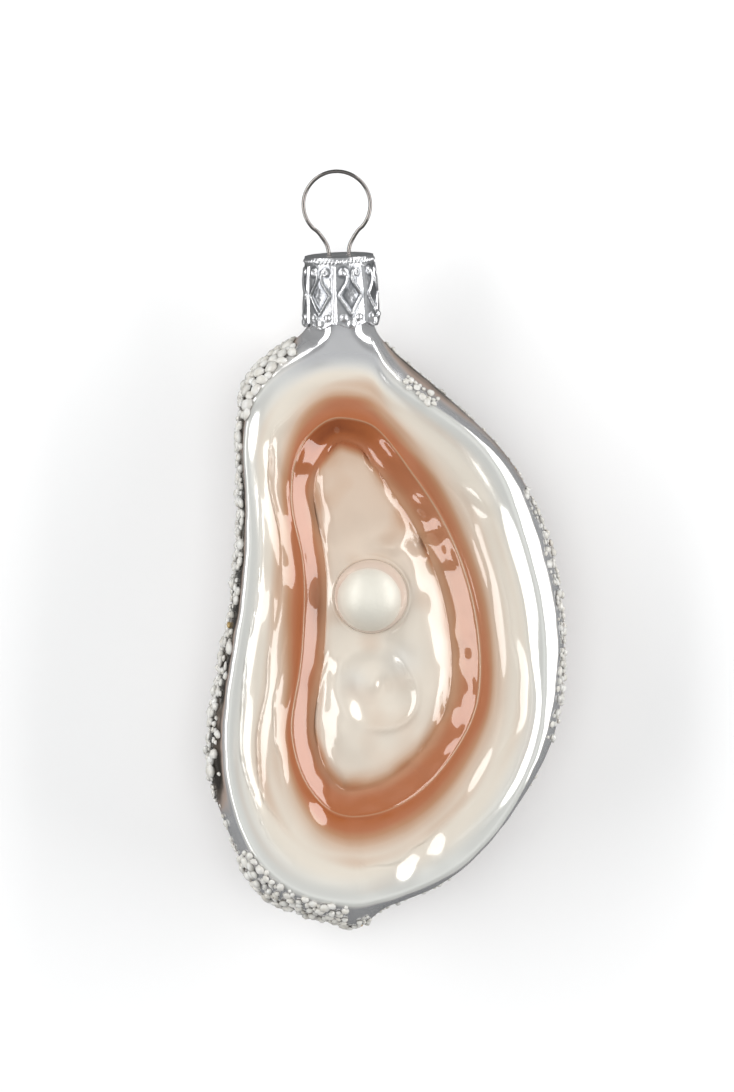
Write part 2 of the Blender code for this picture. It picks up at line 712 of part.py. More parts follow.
def loop_route():
    """Centre line of the wire in the cap's frame, from the end of one leg round the loop to the end of the other."""
    centre = CAP_HEIGHT + LOOP_TOP - LOOP_RADIUS
    leg = [
        (LEG_SPREAD + 0.9, CAP_HEIGHT - LEG_DEPTH),
        (LEG_SPREAD + 0.5, CAP_HEIGHT - 0.6 * LEG_DEPTH),
        (LEG_SPREAD + 0.1, CAP_HEIGHT - 0.2 * LEG_DEPTH),
        (LEG_SPREAD, CAP_HEIGHT),
        (LEG_SPREAD + 0.05, CAP_HEIGHT + 0.9),
        (LEG_SPREAD + 0.4, CAP_HEIGHT + 2.0),
    ]
    arc = [math.radians(a) for a in range(-54, 235, 12)]
    ring = [(LOOP_RADIUS * math.cos(a), centre + LOOP_RADIUS * math.sin(a)) for a in arc]
    mirrored = [(-x, z) for x, z in reversed(leg)]
    return [Vector((x, 0, z)) for x, z in leg + ring + mirrored]


def build_hanger(material):
    """Round wire loop whose two legs go down through the cap's top into the neck."""
    route = loop_route()
    curve = bpy.data.curves.new("hanger", "CURVE")
    curve.dimensions = "3D"
    curve.bevel_depth = WIRE_RADIUS * MM
    curve.bevel_resolution = 2
    curve.use_fill_caps = True
    line = curve.splines.new("POLY")
    line.points.add(len(route) - 1)
    for point, place in zip(line.points, route):
        point.co = (*(place * MM), 1)
    curve.materials.append(material)
    hanger = bpy.data.objects.new("hanger", curve)
    bpy.context.scene.collection.objects.link(hanger)
    hanger.matrix_world = cap_placement()
    return hanger


def main():
    for obj in list(bpy.data.objects):
        bpy.data.objects.remove(obj)
    glass = new_material("silvered_glass", (0.80, 0.72, 0.66), 0.2, 0.4)
    nacre = new_material("pearl_lacquer", (0.82, 0.82, 0.76), 0.35, 0.0)
    metal = new_material("bright_tin", (0.82, 0.83, 0.85), 0.2, 1.0)
    steel = new_material("bright_wire", (0.75, 0.75, 0.76), 0.15, 1.0)
    shell = build_shell(glass)
    fuse_grains(shell, glass)
    build_pearl(nacre)
    build_cap(metal)
    build_hanger(steel)


main()
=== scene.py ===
"""Looks of a tree ornament of silvered glass, an oyster on the half shell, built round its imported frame.

The frame gives the solids at their real size. This script puts finer pieces of the same form in their place:
the blown shell, the granules glued round its rim, the pearl, the pressed cap and the wire loop. It gives
each its finish and sets up a plain studio that looks down on the ornament as the photograph does.

Lengths are in millimetres until a mesh is made, where MM turns them into metres.
"""

from __future__ import annotations

import logging
import math
import random
from collections.abc import Callable, Iterable, Sequence
from dataclasses import dataclass, field
from enum import Enum

import bmesh
import bpy
import numpy as np
from bmesh.types import BMLayerItem, BMVert, BMesh
from bpy.types import ID, Material, Mesh, Node, NodeSocket, NodeTree, Object
from mathutils import Matrix, Vector, noise

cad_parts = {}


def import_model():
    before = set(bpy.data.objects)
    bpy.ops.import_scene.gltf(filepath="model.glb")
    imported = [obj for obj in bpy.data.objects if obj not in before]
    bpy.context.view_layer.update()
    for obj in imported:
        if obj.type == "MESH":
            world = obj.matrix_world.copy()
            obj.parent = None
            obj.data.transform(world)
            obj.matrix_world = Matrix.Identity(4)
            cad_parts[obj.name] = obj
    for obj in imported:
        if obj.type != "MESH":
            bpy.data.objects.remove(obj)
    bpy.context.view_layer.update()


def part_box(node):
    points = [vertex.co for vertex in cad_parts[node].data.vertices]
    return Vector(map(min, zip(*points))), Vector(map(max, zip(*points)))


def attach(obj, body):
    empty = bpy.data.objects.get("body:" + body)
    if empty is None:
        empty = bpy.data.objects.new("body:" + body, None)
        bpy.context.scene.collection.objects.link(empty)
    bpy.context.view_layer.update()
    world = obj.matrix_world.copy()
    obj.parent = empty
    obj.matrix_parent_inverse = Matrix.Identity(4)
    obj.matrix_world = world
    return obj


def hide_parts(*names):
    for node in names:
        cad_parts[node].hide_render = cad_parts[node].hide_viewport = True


LOG = logging.getLogger("oyster")
MM = 0.001
ROOT = "root"
UP = Vector((0.0, 0.0, 1.0))
Colour = tuple[float, float, float]
Tones = tuple[float, float, float, float]
Key = int | str
Ring = list[BMVert]
Surface = Callable[[float, float], Vector]
TILTED_WIDTH = 0.36  # share of a facet's width that is tilted evenly
TILTED_LENGTH = 0.65  # the same of its length


def smooth(x: float) -> float:
    """Smooth step from 0 at 0 to 1 at 1."""
    x = min(1.0, max(0.0, x))
    return x * x * (3.0 - 2.0 * x)


def window(x: float, first: float, last: float, soft: float) -> float:
    """1 between first and last, falling to 0 over soft on either side."""
    return smooth((x - first) / soft + 0.5) * smooth((last - x) / soft + 0.5)


def bell(x: float, middle: float, width: float) -> float:
    """Bell curve of height 1 round middle."""
    return math.exp(-(((x - middle) / width) ** 2))


def soft_ramp(x: float, width: float) -> float:
    """A ramp that is 0 below 0 and x above it, rounded over about the given width.

    Args:
        x: the value.
        width: how wide the rounding is.

    Returns:
        The rounded ramp at x.
    """
    if x > 30.0 * width:
        return x
    return width * math.log1p(math.exp(x / width))


def controls(points: Sequence[Vector]) -> list[Vector]:
    """Control points of the closed cubic B-spline that passes through the points.

    Args:
        points: the points, in order round the curve.

    Returns:
        As many control points as there are points.
    """
    count = len(points)
    weights = np.zeros((count, count))
    for i in range(count):
        weights[i, i] = 4.0 / 6.0
        weights[i, i - 1] = weights[i, (i + 1) % count] = 1.0 / 6.0
    return [Vector(row) for row in np.linalg.solve(weights, np.array(points))]


def spline(control: Sequence[Vector], u: float) -> Vector:
    """Point of a closed cubic B-spline at station u.

    Args:
        control: its control points.
        u: the station, which may run past the last.

    Returns:
        The point.
    """
    i = math.floor(u)
    t = u - i
    p0, p1, p2, p3 = (control[(i + k) % len(control)] for k in (-1, 0, 1, 2))
    return (
        p0 * (1 - t) ** 3
        + p1 * (3 * t**3 - 6 * t**2 + 4)
        + p2 * (3 * t**2 + 3 * t + 1 - 3 * t**3)
        + p3 * t**3
    ) / 6


def hermite(start: Vector, leave: Vector, end: Vector, arrive: Vector, s: float) -> Vector:
    """Point of the cubic from start to end that leaves and arrives along the two given tangents.

    Args:
        start: the first point.
        leave: the tangent there.
        end: the last point.
        arrive: the tangent there.
        s: the share of the way, from 0 to 1.

    Returns:
        The point.
    """
    a = 2 * s**3 - 3 * s**2 + 1
    b = s**3 - 2 * s**2 + s
    c = s**3 - s**2
    return a * start + b * leave + (1 - a) * end + c * arrive


def spread(count: int, last: float = 1.0, gather: float = 1.0) -> list[float]:
    """Shares from just above 0 up to last; gather above 1 packs them near 0, below 1 near last."""
    return [last * ((k + 1) / count) ** gather for k in range(count)]


# Shader building


class Nodes:
    """Small helper that adds, sets and links nodes of one tree."""

    def __init__(self, tree: NodeTree) -> None:
        """Keeps the tree that the helper works on."""
        self.tree = tree

    def add(self, kind: str, **settings: object) -> Node:
        """Adds a node.

        Args:
            kind: the node's type, such as ShaderNodeMath.
            settings: attributes of the node to set.

        Returns:
            The new node.
        """
        node = self.tree.nodes.new(kind)
        for name, value in settings.items():
            setattr(node, name, value)
        return node

    def feed(self, node: Node, values: dict[Key, object]) -> None:
        """Links sockets into a node's inputs, or sets the inputs to plain values.

        Args:
            node: the node.
            values: a socket, a number or a colour for each input, by its number or name.
        """
        for which, value in values.items():
            if isinstance(value, NodeSocket):
                self.tree.links.new(value, node.inputs[which])
            else:
                node.inputs[which].default_value = value

    def fed(self, node: Node, values: dict[Key, object], output: Key = 0) -> NodeSocket:
        """Feeds a node's inputs and returns one of its outputs, by its number or name."""
        self.feed(node, values)
        return node.outputs[output]

    def math(self, operation: str, a: object, b: object = 0.0, clamp: bool = False) -> NodeSocket:
        """Adds a Math node on two values or sockets and returns its output."""
        return self.fed(self.add("ShaderNodeMath", operation=operation, use_clamp=clamp), {0: a, 1: b})

    def remap(
        self, value: object, low: float, high: float, to_low: float = 0.0, to_high: float = 1.0
    ) -> NodeSocket:
        """Maps low..high of a value smoothly to to_low..to_high.

        Args:
            value: the value or socket.
            low: the value that gives to_low.
            high: the value that gives to_high.
            to_low: the result at low and below.
            to_high: the result at high and above.

        Returns:
            The node's output.
        """
        node = self.add("ShaderNodeMapRange", interpolation_type="SMOOTHSTEP")
        values = {"Value": value, "From Min": low, "From Max": high, "To Min": to_low, "To Max": to_high}
        return self.fed(node, values, "Result")

    def mix(self, share: object, a: object, b: object) -> NodeSocket:
        """Mixes two colours by a share and returns the colour."""
        return self.fed(self.add("ShaderNodeMix", data_type="RGBA"), {0: share, 6: a, 7: b}, 2)

    def blend(self, share: object, a: object, b: object) -> NodeSocket:
        """Mixes two numbers by a share and returns the number."""
        return self.fed(self.add("ShaderNodeMix", data_type="FLOAT"), {0: share, 2: a, 3: b})

    def attribute(self, name: str) -> NodeSocket:
        """The value of a mesh attribute."""
        return self.add("ShaderNodeAttribute", attribute_name=name).outputs["Fac"]

    def ramp(self, value: object, stops: Sequence[tuple[float, Colour]]) -> NodeSocket:
        """A colour ramp on a value, with stops of place and colour.

        Args:
            value: the value.
            stops: place and colour of each stop.

        Returns:
            The node's output.
        """
        node = self.add("ShaderNodeValToRGB")
        ramp = node.color_ramp
        while len(ramp.elements) < len(stops):
            ramp.elements.new(0.5)
        for element, (place, colour) in zip(ramp.elements, stops):
            element.position = place
            element.color = (*colour, 1.0)
        return self.fed(node, {0: value}, "Color")

    def soft_noise(self, place: NodeSocket, scale: NodeSocket, detail: float) -> NodeSocket:
        """Adds a Noise Texture and returns its value."""
        node = self.add("ShaderNodeTexNoise", noise_dimensions="3D")
        return self.fed(node, {"Vector": place, "Scale": scale, "Detail": detail}, "Fac")

    def bump(self, height: NodeSocket, strength: float, distance: float) -> NodeSocket:
        """Adds a Bump node on a height, of which 1 is a distance in metres, and returns the normal."""
        values = {"Strength": strength, "Distance": distance, "Height": height}
        return self.fed(self.add("ShaderNodeBump"), values, "Normal")


def mottle_group() -> NodeTree:
    """Builds the shared group that puts out soft patches and the fine waver of blown glass.

    Returns:
        A group with Patch Size and Waver Size in patches a metre, a Contrast, and the outputs Patches, from 0
        to 1, and Waver, a height for a Bump node.
    """
    tree = bpy.data.node_groups.new("mottle", "ShaderNodeTree")
    nodes = Nodes(tree)
    for name, value in (("Patch Size", 120.0), ("Waver Size", 400.0), ("Contrast", 1.0)):
        socket = tree.interface.new_socket(name=name, in_out="INPUT", socket_type="NodeSocketFloat")
        socket.default_value = value
    for name in ("Patches", "Waver"):
        tree.interface.new_socket(name=name, in_out="OUTPUT", socket_type="NodeSocketFloat")
    given = nodes.add("NodeGroupInput").outputs
    place = nodes.add("ShaderNodeTexCoord").outputs["Object"]
    patches = nodes.math("SUBTRACT", nodes.soft_noise(place, given["Patch Size"], 4.0), 0.5)
    patches = nodes.math("MULTIPLY", patches, given["Contrast"])
    patches = nodes.math("ADD", patches, 0.5, clamp=True)
    waver = nodes.soft_noise(place, given["Waver Size"], 2.0)
    nodes.feed(nodes.add("NodeGroupOutput"), {"Patches": patches, "Waver": waver})
    return tree


@dataclass(frozen=True)
class Mottle:
    """Values that a material gives to the shared mottle group."""

    patch_size: float = 120.0
    waver_size: float = 400.0
    contrast: float = 1.0

    def place(self, nodes: Nodes, group: NodeTree) -> tuple[NodeSocket, NodeSocket]:
        """Adds the group to a material with these values.

        Args:
            nodes: the material's node helper.
            group: the shared mottle group.

        Returns:
            The outputs Patches and Waver.
        """
        node = nodes.add("ShaderNodeGroup", node_tree=group)
        values = {"Patch Size": self.patch_size, "Waver Size": self.waver_size, "Contrast": self.contrast}
        return nodes.fed(node, values, "Patches"), node.outputs["Waver"]


def new_material(name: str) -> tuple[Material, Nodes, Node]:
    """Makes a material and returns it with its node helper and its Principled shader.

    Args:
        name: the material's name.

    Returns:
        The material, its node helper and its Principled shader.
    """
    material = bpy.data.materials.new(name)
    material.use_nodes = True
    nodes = Nodes(material.node_tree)
    shader = material.node_tree.nodes["Principled BSDF"]
    return material, nodes, shader


@dataclass(frozen=True)
class ShellFinish:
    """Lacquered mirror glass: cream and peach under gloss on the face, satin silver and brown outside, with
    painted shade under the granules and at the silhouette.
    """

    cream: Colour = (0.73, 0.67, 0.58)
    cool_white: Colour = (0.76, 0.77, 0.74)
    beige: Colour = (0.58, 0.42, 0.31)
    tan: Colour = (0.46, 0.245, 0.135)
    peach: Colour = (0.42, 0.155, 0.07)
    orange: Colour = (0.39, 0.115, 0.035)
    rust: Colour = (0.17, 0.032, 0.008)
    silver: Colour = (0.80, 0.80, 0.81)
    taupe: Colour = (0.44, 0.35, 0.30)
    umber: Colour = (0.10, 0.08, 0.065)
    darkest_earth_and_shade: Colour = (0.03, 0.026, 0.022)
    face_metallic: float = 0.06
    lip_metallic: float = 0.32
    face_roughness: float = 0.27
    lip_roughness: float = 0.12
    satin_roughness: float = 0.20
    neck_roughness: float = 0.10
    mottle: Mottle = Mottle(patch_size=90.0, waver_size=260.0, contrast=1.6)

    def face_colour(self, nodes: Nodes, patches: NodeSocket) -> NodeSocket:
        """Colour of the lacquered face, cream with the peach spray over it.

        Args:
            nodes: the material's node helper.
            patches: the mottle's patches.

        Returns:
            The colour's output.
        """
        speckle = nodes.math("MULTIPLY", nodes.math("SUBTRACT", patches, 0.5), 0.16)
        evenness = nodes.math("ADD", speckle, 1.0)
        coverage = nodes.math("MULTIPLY", nodes.attribute("peach"), evenness, clamp=True)
        pale = nodes.mix(nodes.attribute("whiteness"), (*self.cream, 1.0), (*self.cool_white, 1.0))
        stops = [
            (0.28, self.beige),
            (0.46, self.tan),
            (0.62, self.peach),
            (0.82, self.orange),
            (1.0, self.rust),
        ]
        return nodes.mix(nodes.remap(coverage, 0.0, 0.34), pale, nodes.ramp(coverage, stops))

    def material(self, group: NodeTree) -> Material:
        """Builds the material, which reads the shell's own attributes.

        Args:
            group: the shared mottle group.

        Returns:
            The material.
        """
        material, nodes, shader = new_material("lacquered_mirror_glass")
        patches, waver = self.mottle.place(nodes, group)
        # The earth attribute is brown earth and painted shade together; its darker stops stand partly for
        # shade under the granules and at the silhouette.
        dirt_and_shade = nodes.math("MULTIPLY", nodes.attribute("earth_and_shade"), nodes.remap(patches, 0.1, 0.75, 0.6, 1.0))
        stops = [(0.12, self.silver), (0.42, self.taupe), (0.7, self.umber), (0.95, self.darkest_earth_and_shade)]
        outside = nodes.ramp(dirt_and_shade, stops)
        lacquer = nodes.attribute("lacquer")
        white = nodes.attribute("whiteness")
        bare = nodes.blend(nodes.remap(dirt_and_shade, 0.1, 0.6), 0.75, 0.05)
        face = nodes.blend(white, self.face_metallic, self.lip_metallic)
        satin = nodes.blend(patches, self.satin_roughness - 0.05, self.satin_roughness + 0.05)
        satin = nodes.blend(white, satin, self.neck_roughness)
        gloss = nodes.blend(white, self.face_roughness, self.lip_roughness)
        inputs = {
            "Base Color": nodes.mix(lacquer, outside, self.face_colour(nodes, patches)),
            "Metallic": nodes.blend(lacquer, bare, face),
            "Roughness": nodes.blend(lacquer, satin, gloss),
            "Coat Weight": lacquer,
            "Coat Roughness": 0.025,
            "Coat IOR": 1.62,
            "IOR": 1.5,
            "Specular IOR Level": 0.15,
            "Normal": nodes.bump(waver, 0.2, 0.0002),
        }
        nodes.feed(shader, inputs)
        return material


@dataclass(frozen=True)
class GranuleFinish:
    """Crushed-glass granules: clear to milky, some faintly stained, each with painted shade at its sunk base.
    """

    colour: Colour = (0.98, 0.98, 0.96)
    stain: Colour = (0.80, 0.76, 0.68)
    shade: Colour = (0.22, 0.20, 0.17)
    roughness: float = 0.10
    transmission: float = 0.20
    mottle: Mottle = Mottle(patch_size=700.0, waver_size=2600.0, contrast=2.2)

    def material(self, name: str, group: NodeTree) -> Material:
        """Builds the material under a name.

        Args:
            name: the material's name.
            group: the shared mottle group.

        Returns:
            The material.
        """
        material, nodes, shader = new_material(name)
        patches, waver = self.mottle.place(nodes, group)
        colour = nodes.mix(patches, (*self.stain, 1.0), (*self.colour, 1.0))
        # The tone attribute is each granule's random tone times painted shade at its sunk base; low values
        # take the dark shade colour.
        lit = nodes.remap(nodes.attribute("tone_and_shade"), 0.0, 0.6)
        inputs = {
            "Base Color": nodes.mix(lit, (*self.shade, 1.0), colour),
            "Roughness": nodes.blend(patches, self.roughness + 0.12, self.roughness),
            "Transmission Weight": self.transmission,
            "IOR": 1.5,
            "Normal": nodes.bump(waver, 0.35, 0.0002),
        }
        nodes.feed(shader, inputs)
        return material


@dataclass(frozen=True)
class PearlFinish:
    """Satin pearl paint over a glossy ball, thinner at the edge of the brushed spot."""

    paint: Colour = (0.82, 0.79, 0.70)
    bare: Colour = (0.76, 0.64, 0.55)
    paint_roughness: float = 0.46
    bare_roughness: float = 0.10
    mottle: Mottle = Mottle(patch_size=350.0, waver_size=1900.0, contrast=1.0)

    def material(self, group: NodeTree) -> Material:
        """Builds the material, which reads the pearl's paint attribute.

        Args:
            group: the shared mottle group.

        Returns:
            The material.
        """
        material, nodes, shader = new_material("pearl_paint")
        patches, waver = self.mottle.place(nodes, group)
        paint = nodes.attribute("paint")
        shade = nodes.mix(patches, (*(0.93 * c for c in self.paint), 1.0), (*self.paint, 1.0))
        inputs = {
            "Base Color": nodes.mix(paint, (*self.bare, 1.0), shade),
            "Roughness": nodes.blend(paint, self.bare_roughness, self.paint_roughness),
            "Metallic": nodes.blend(paint, 0.10, 0.16),
            "Normal": nodes.bump(waver, 0.3, 0.0001),
        }
        nodes.feed(shader, inputs)
        return material


@dataclass(frozen=True)
class MetalFinish:
    """Bright metal, slightly dulled and tarnished in patches, and on the cap darker in its hollows by painted
    shade.
    """

    name: str
    colour: Colour
    tarnish_and_shade: Colour
    roughness: float
    wrinkle: float = 0.1
    mottle: Mottle = Mottle(patch_size=500.0, waver_size=1100.0, contrast=1.5)

    def material(self, group: NodeTree, with_hollow_shade: bool = False) -> Material:
        """Builds the material.

        Args:
            group: the shared mottle group.
            with_hollow_shade: whether the piece has a "hollow" attribute to darken by.

        Returns:
            The material.
        """
        material, nodes, shader = new_material(self.name)
        patches, waver = self.mottle.place(nodes, group)
        shade = nodes.remap(patches, 0.0, 1.0, 0.25, 0.0)
        # On the cap the hollow attribute adds painted shade to the random tarnish.
        if with_hollow_shade:
            shade = nodes.math("ADD", shade, nodes.attribute("hollow"), clamp=True)
        inputs = {
            "Base Color": nodes.mix(shade, (*self.colour, 1.0), (*self.tarnish_and_shade, 1.0)),
            "Roughness": nodes.blend(patches, self.roughness + 0.06, self.roughness),
            "Metallic": 1.0,
            "Normal": nodes.bump(waver, self.wrinkle, 0.0003),
        }
        nodes.feed(shader, inputs)
        return material


@dataclass(frozen=True)
class FloorFinish:
    """Plain white paper under the ornament."""

    colour: Colour = (0.97, 0.97, 0.97)

    def material(self) -> Material:
        """Builds the material."""
        material, nodes, shader = new_material("white_paper")
        nodes.feed(shader, {"Base Color": (*self.colour, 1.0), "Roughness": 0.9})
        return material


# Mesh building


def extrude_ring(bm: BMesh, ring: Ring, points: Iterable[Vector]) -> Ring:
    """Extrudes a closed ring of vertices.

    Args:
        bm: the mesh that holds the ring.
        ring: its vertices in order.
        points: where the new vertices go, in metres.

    Returns:
        The new ring in the same order.
    """
    edges = [bm.edges.get((a, b)) for a, b in zip(ring, ring[1:] + ring[:1])]
    made = bmesh.ops.extrude_edge_only(bm, edges=edges)["geom"]
    fresh = {item for item in made if isinstance(item, BMVert)}
    new_ring = []
    for vertex, point in zip(ring, points):
        twin = next(e.other_vert(vertex) for e in vertex.link_edges if e.other_vert(vertex) in fresh)
        twin.co = point
        new_ring.append(twin)
    return new_ring


def take_mesh(name: str, bm: BMesh) -> Mesh:
    """Turns a bmesh into a mesh.

    Args:
        name: the mesh's name.
        bm: the bmesh, which is freed.

    Returns:
        The mesh.
    """
    mesh = bpy.data.meshes.new(name)
    bm.to_mesh(mesh)
    bm.free()
    return mesh


def add_object(name: str, data: ID) -> Object:
    """Adds an object to the scene.

    Args:
        name: the object's name.
        data: its mesh, light or camera.

    Returns:
        The object.
    """
    thing = bpy.data.objects.new(name, data)
    bpy.context.scene.collection.objects.link(thing)
    return thing


def make_piece(name: str, bm: BMesh, material: Material, sharp: float = 40.0) -> Object:
    """Turns a bmesh into a finished piece that rides on the root body.

    Args:
        name: the piece's name.
        bm: its mesh in metres; it is freed.
        material: its only material.
        sharp: the angle in degrees past which an edge stays sharp.

    Returns:
        The object, at the origin.
    """
    bmesh.ops.recalc_face_normals(bm, faces=bm.faces)
    mesh = take_mesh(name, bm)
    mesh.materials.append(material)
    mesh.shade_smooth()
    mesh.set_sharp_from_angle(angle=math.radians(sharp))
    piece = add_object(name, mesh)
    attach(piece, ROOT)
    return piece


# Neck, which carries cap and loop


@dataclass(frozen=True)
class Neck:
    """The tube at the top of the shell; cap and loop stand on its axis."""

    root: Vector = Vector((-7.1, 36.7, 15.2))
    radius: float = 5.2
    top_radius: float = 4.7
    length: float = 9.2
    bore_radius: float = 3.8
    bore_depth: float = 8.0
    lean: float = math.radians(2.3)
    lift: float = math.radians(6.0)
    centring: Vector = Vector((0.12, 0.25, 0.0))

    def axis(self) -> Vector:
        """Direction in which the neck stands."""
        level = math.cos(self.lift)
        return Vector((-math.sin(self.lean) * level, math.cos(self.lean) * level, math.sin(self.lift)))

    def turn(self) -> Matrix:
        """Rotation of the neck's frame: X to its right, Y down into its back, Z along its axis."""
        axis = self.axis()
        right = axis.cross(UP).normalized()
        return Matrix((right, axis.cross(right), axis)).transposed()

    def point(self, angle: float, radius: float, along: float) -> Vector:
        """Point on the neck: angle 0 is its right side and a quarter turn its front."""
        local = Vector((radius * math.cos(angle), -radius * math.sin(angle), along))
        return self.root + self.turn() @ local

    def cap_placement(self, below: float) -> Matrix:
        """Placement of the cap's frame, in metres, with its foot a little below the neck's root."""
        origin = self.world(self.root + self.turn() @ Vector((0.0, 0.0, -below)))
        return Matrix.Translation(origin) @ self.turn().to_4x4()

    def world(self, point: Vector) -> Vector:
        """A point of the shell's own millimetres in the frame's metres."""
        return (point + self.centring) * MM


# The blown shell


class Zone(Enum):
    """The parts of the shell's skin, from the outer wall in to the pearl's seat, and the back."""

    WALL = "outer wall"
    DISH = "dish"
    HOLLOW = "hollow's wall"
    CUSHION = "cushion"
    SEAT = "pearl's seat"
    BACK = "back"


@dataclass(frozen=True)
class Stretch:
    """A stretch of the way round the shell between two stations, with soft ends."""

    first: float
    last: float
    soft: float

    def share(self, u: float) -> float:
        """1 inside the stretch and 0 away from it."""
        return window(u, self.first, self.last, self.soft)


@dataclass(frozen=True)
class Spot:
    """An amount that fades out on either side of one station."""

    station: float
    width: float
    amount: float = 1.0


@dataclass(frozen=True)
class Wave:
    """One sine wave along the stations: its height, its rate and its phase."""

    height: float
    rate: float
    phase: float = 0.0

    def at(self, u: float) -> float:
        """Its value at a station."""
        return self.height * math.sin(self.rate * u + self.phase)


@dataclass(frozen=True)
class Fold:
    """One growth fold of the dish, a low terrace that runs along the lip.

    It runs between two stations, at a place from the lip, 0, to the crest, 1, from which it drifts. A
    positive rise stands up sharply and falls off inward over the run. A negative one sinks over the run and
    ends sharply.
    """

    first: float
    last: float
    place: float
    drift: float
    rise: float
    run: float
    edge: float = 0.30

    def height(self, u: float, s: float, width: float) -> float:
        """Height of the fold at a station and a share of the way in over a dish of the given width.

        Args:
            u: the station.
            s: the share of the way in from the lip.
            width: width of the dish there.

        Returns:
            The height, negative where the fold sinks.
        """
        along = (u - self.first) / (self.last - self.first)
        if not 0.0 < along < 1.0:
            return 0.0
        wander = self.drift * math.sin(7.0 * along) + 0.25 * self.drift * math.sin(23.0 * along + self.first)
        inward = (s - self.place - wander) * width
        fade = math.sin(math.pi * along) ** 0.6
        if self.rise < 0:
            inward = -inward
        climb = smooth(inward / self.edge + 0.5)
        share = (inward - 0.5 * self.edge) / self.run
        fall = 1.0 - soft_ramp(share, 0.06) + soft_ramp(share - 1.0, 0.10)
        return self.rise * fade * climb * fall


@dataclass(frozen=True)
class Swell:
    """One soft swell of the cushion: its place, half width, half length and height."""

    x: float
    y: float
    wide: float
    long: float
    rise: float

    def height(self, x: float, y: float) -> float:
        """Height of the swell at a place."""
        return self.rise * math.exp(-(((x - self.x) / self.wide) ** 2) - ((y - self.y) / self.long) ** 2)


@dataclass(frozen=True)
class Facet:
    """A soft dent that tilts a small patch of the face to the right.

    A negative lean tilts it to the left. Its half width and half length are those of the tilted patch, which
    is turned clockwise by some degrees.
    """

    x: float
    y: float
    wide: float
    long: float
    lean: float
    turned: float = 0.0

    def height(self, x: float, y: float) -> float:
        """Height that the dent adds at a place.

        Args:
            x: distance to the right.
            y: distance towards the neck.

        Returns:
            The height, negative on the side that sinks.
        """
        right, ahead = x - self.x, y - self.y
        angle = math.radians(self.turned)
        across = right * math.cos(angle) - ahead * math.sin(angle)
        along = right * math.sin(angle) + ahead * math.cos(angle)
        fade = bell(across, 0.0, self.wide / TILTED_WIDTH) * bell(along, 0.0, self.long / TILTED_LENGTH)
        return -self.lean * across * fade


@dataclass(frozen=True)
class Spray:
    """The peach spray round one station: its reach and its strength on either side of the crest."""

    station: float
    half_width: float
    outer_reach: float
    outside: float
    wall: float
    inner_reach: float


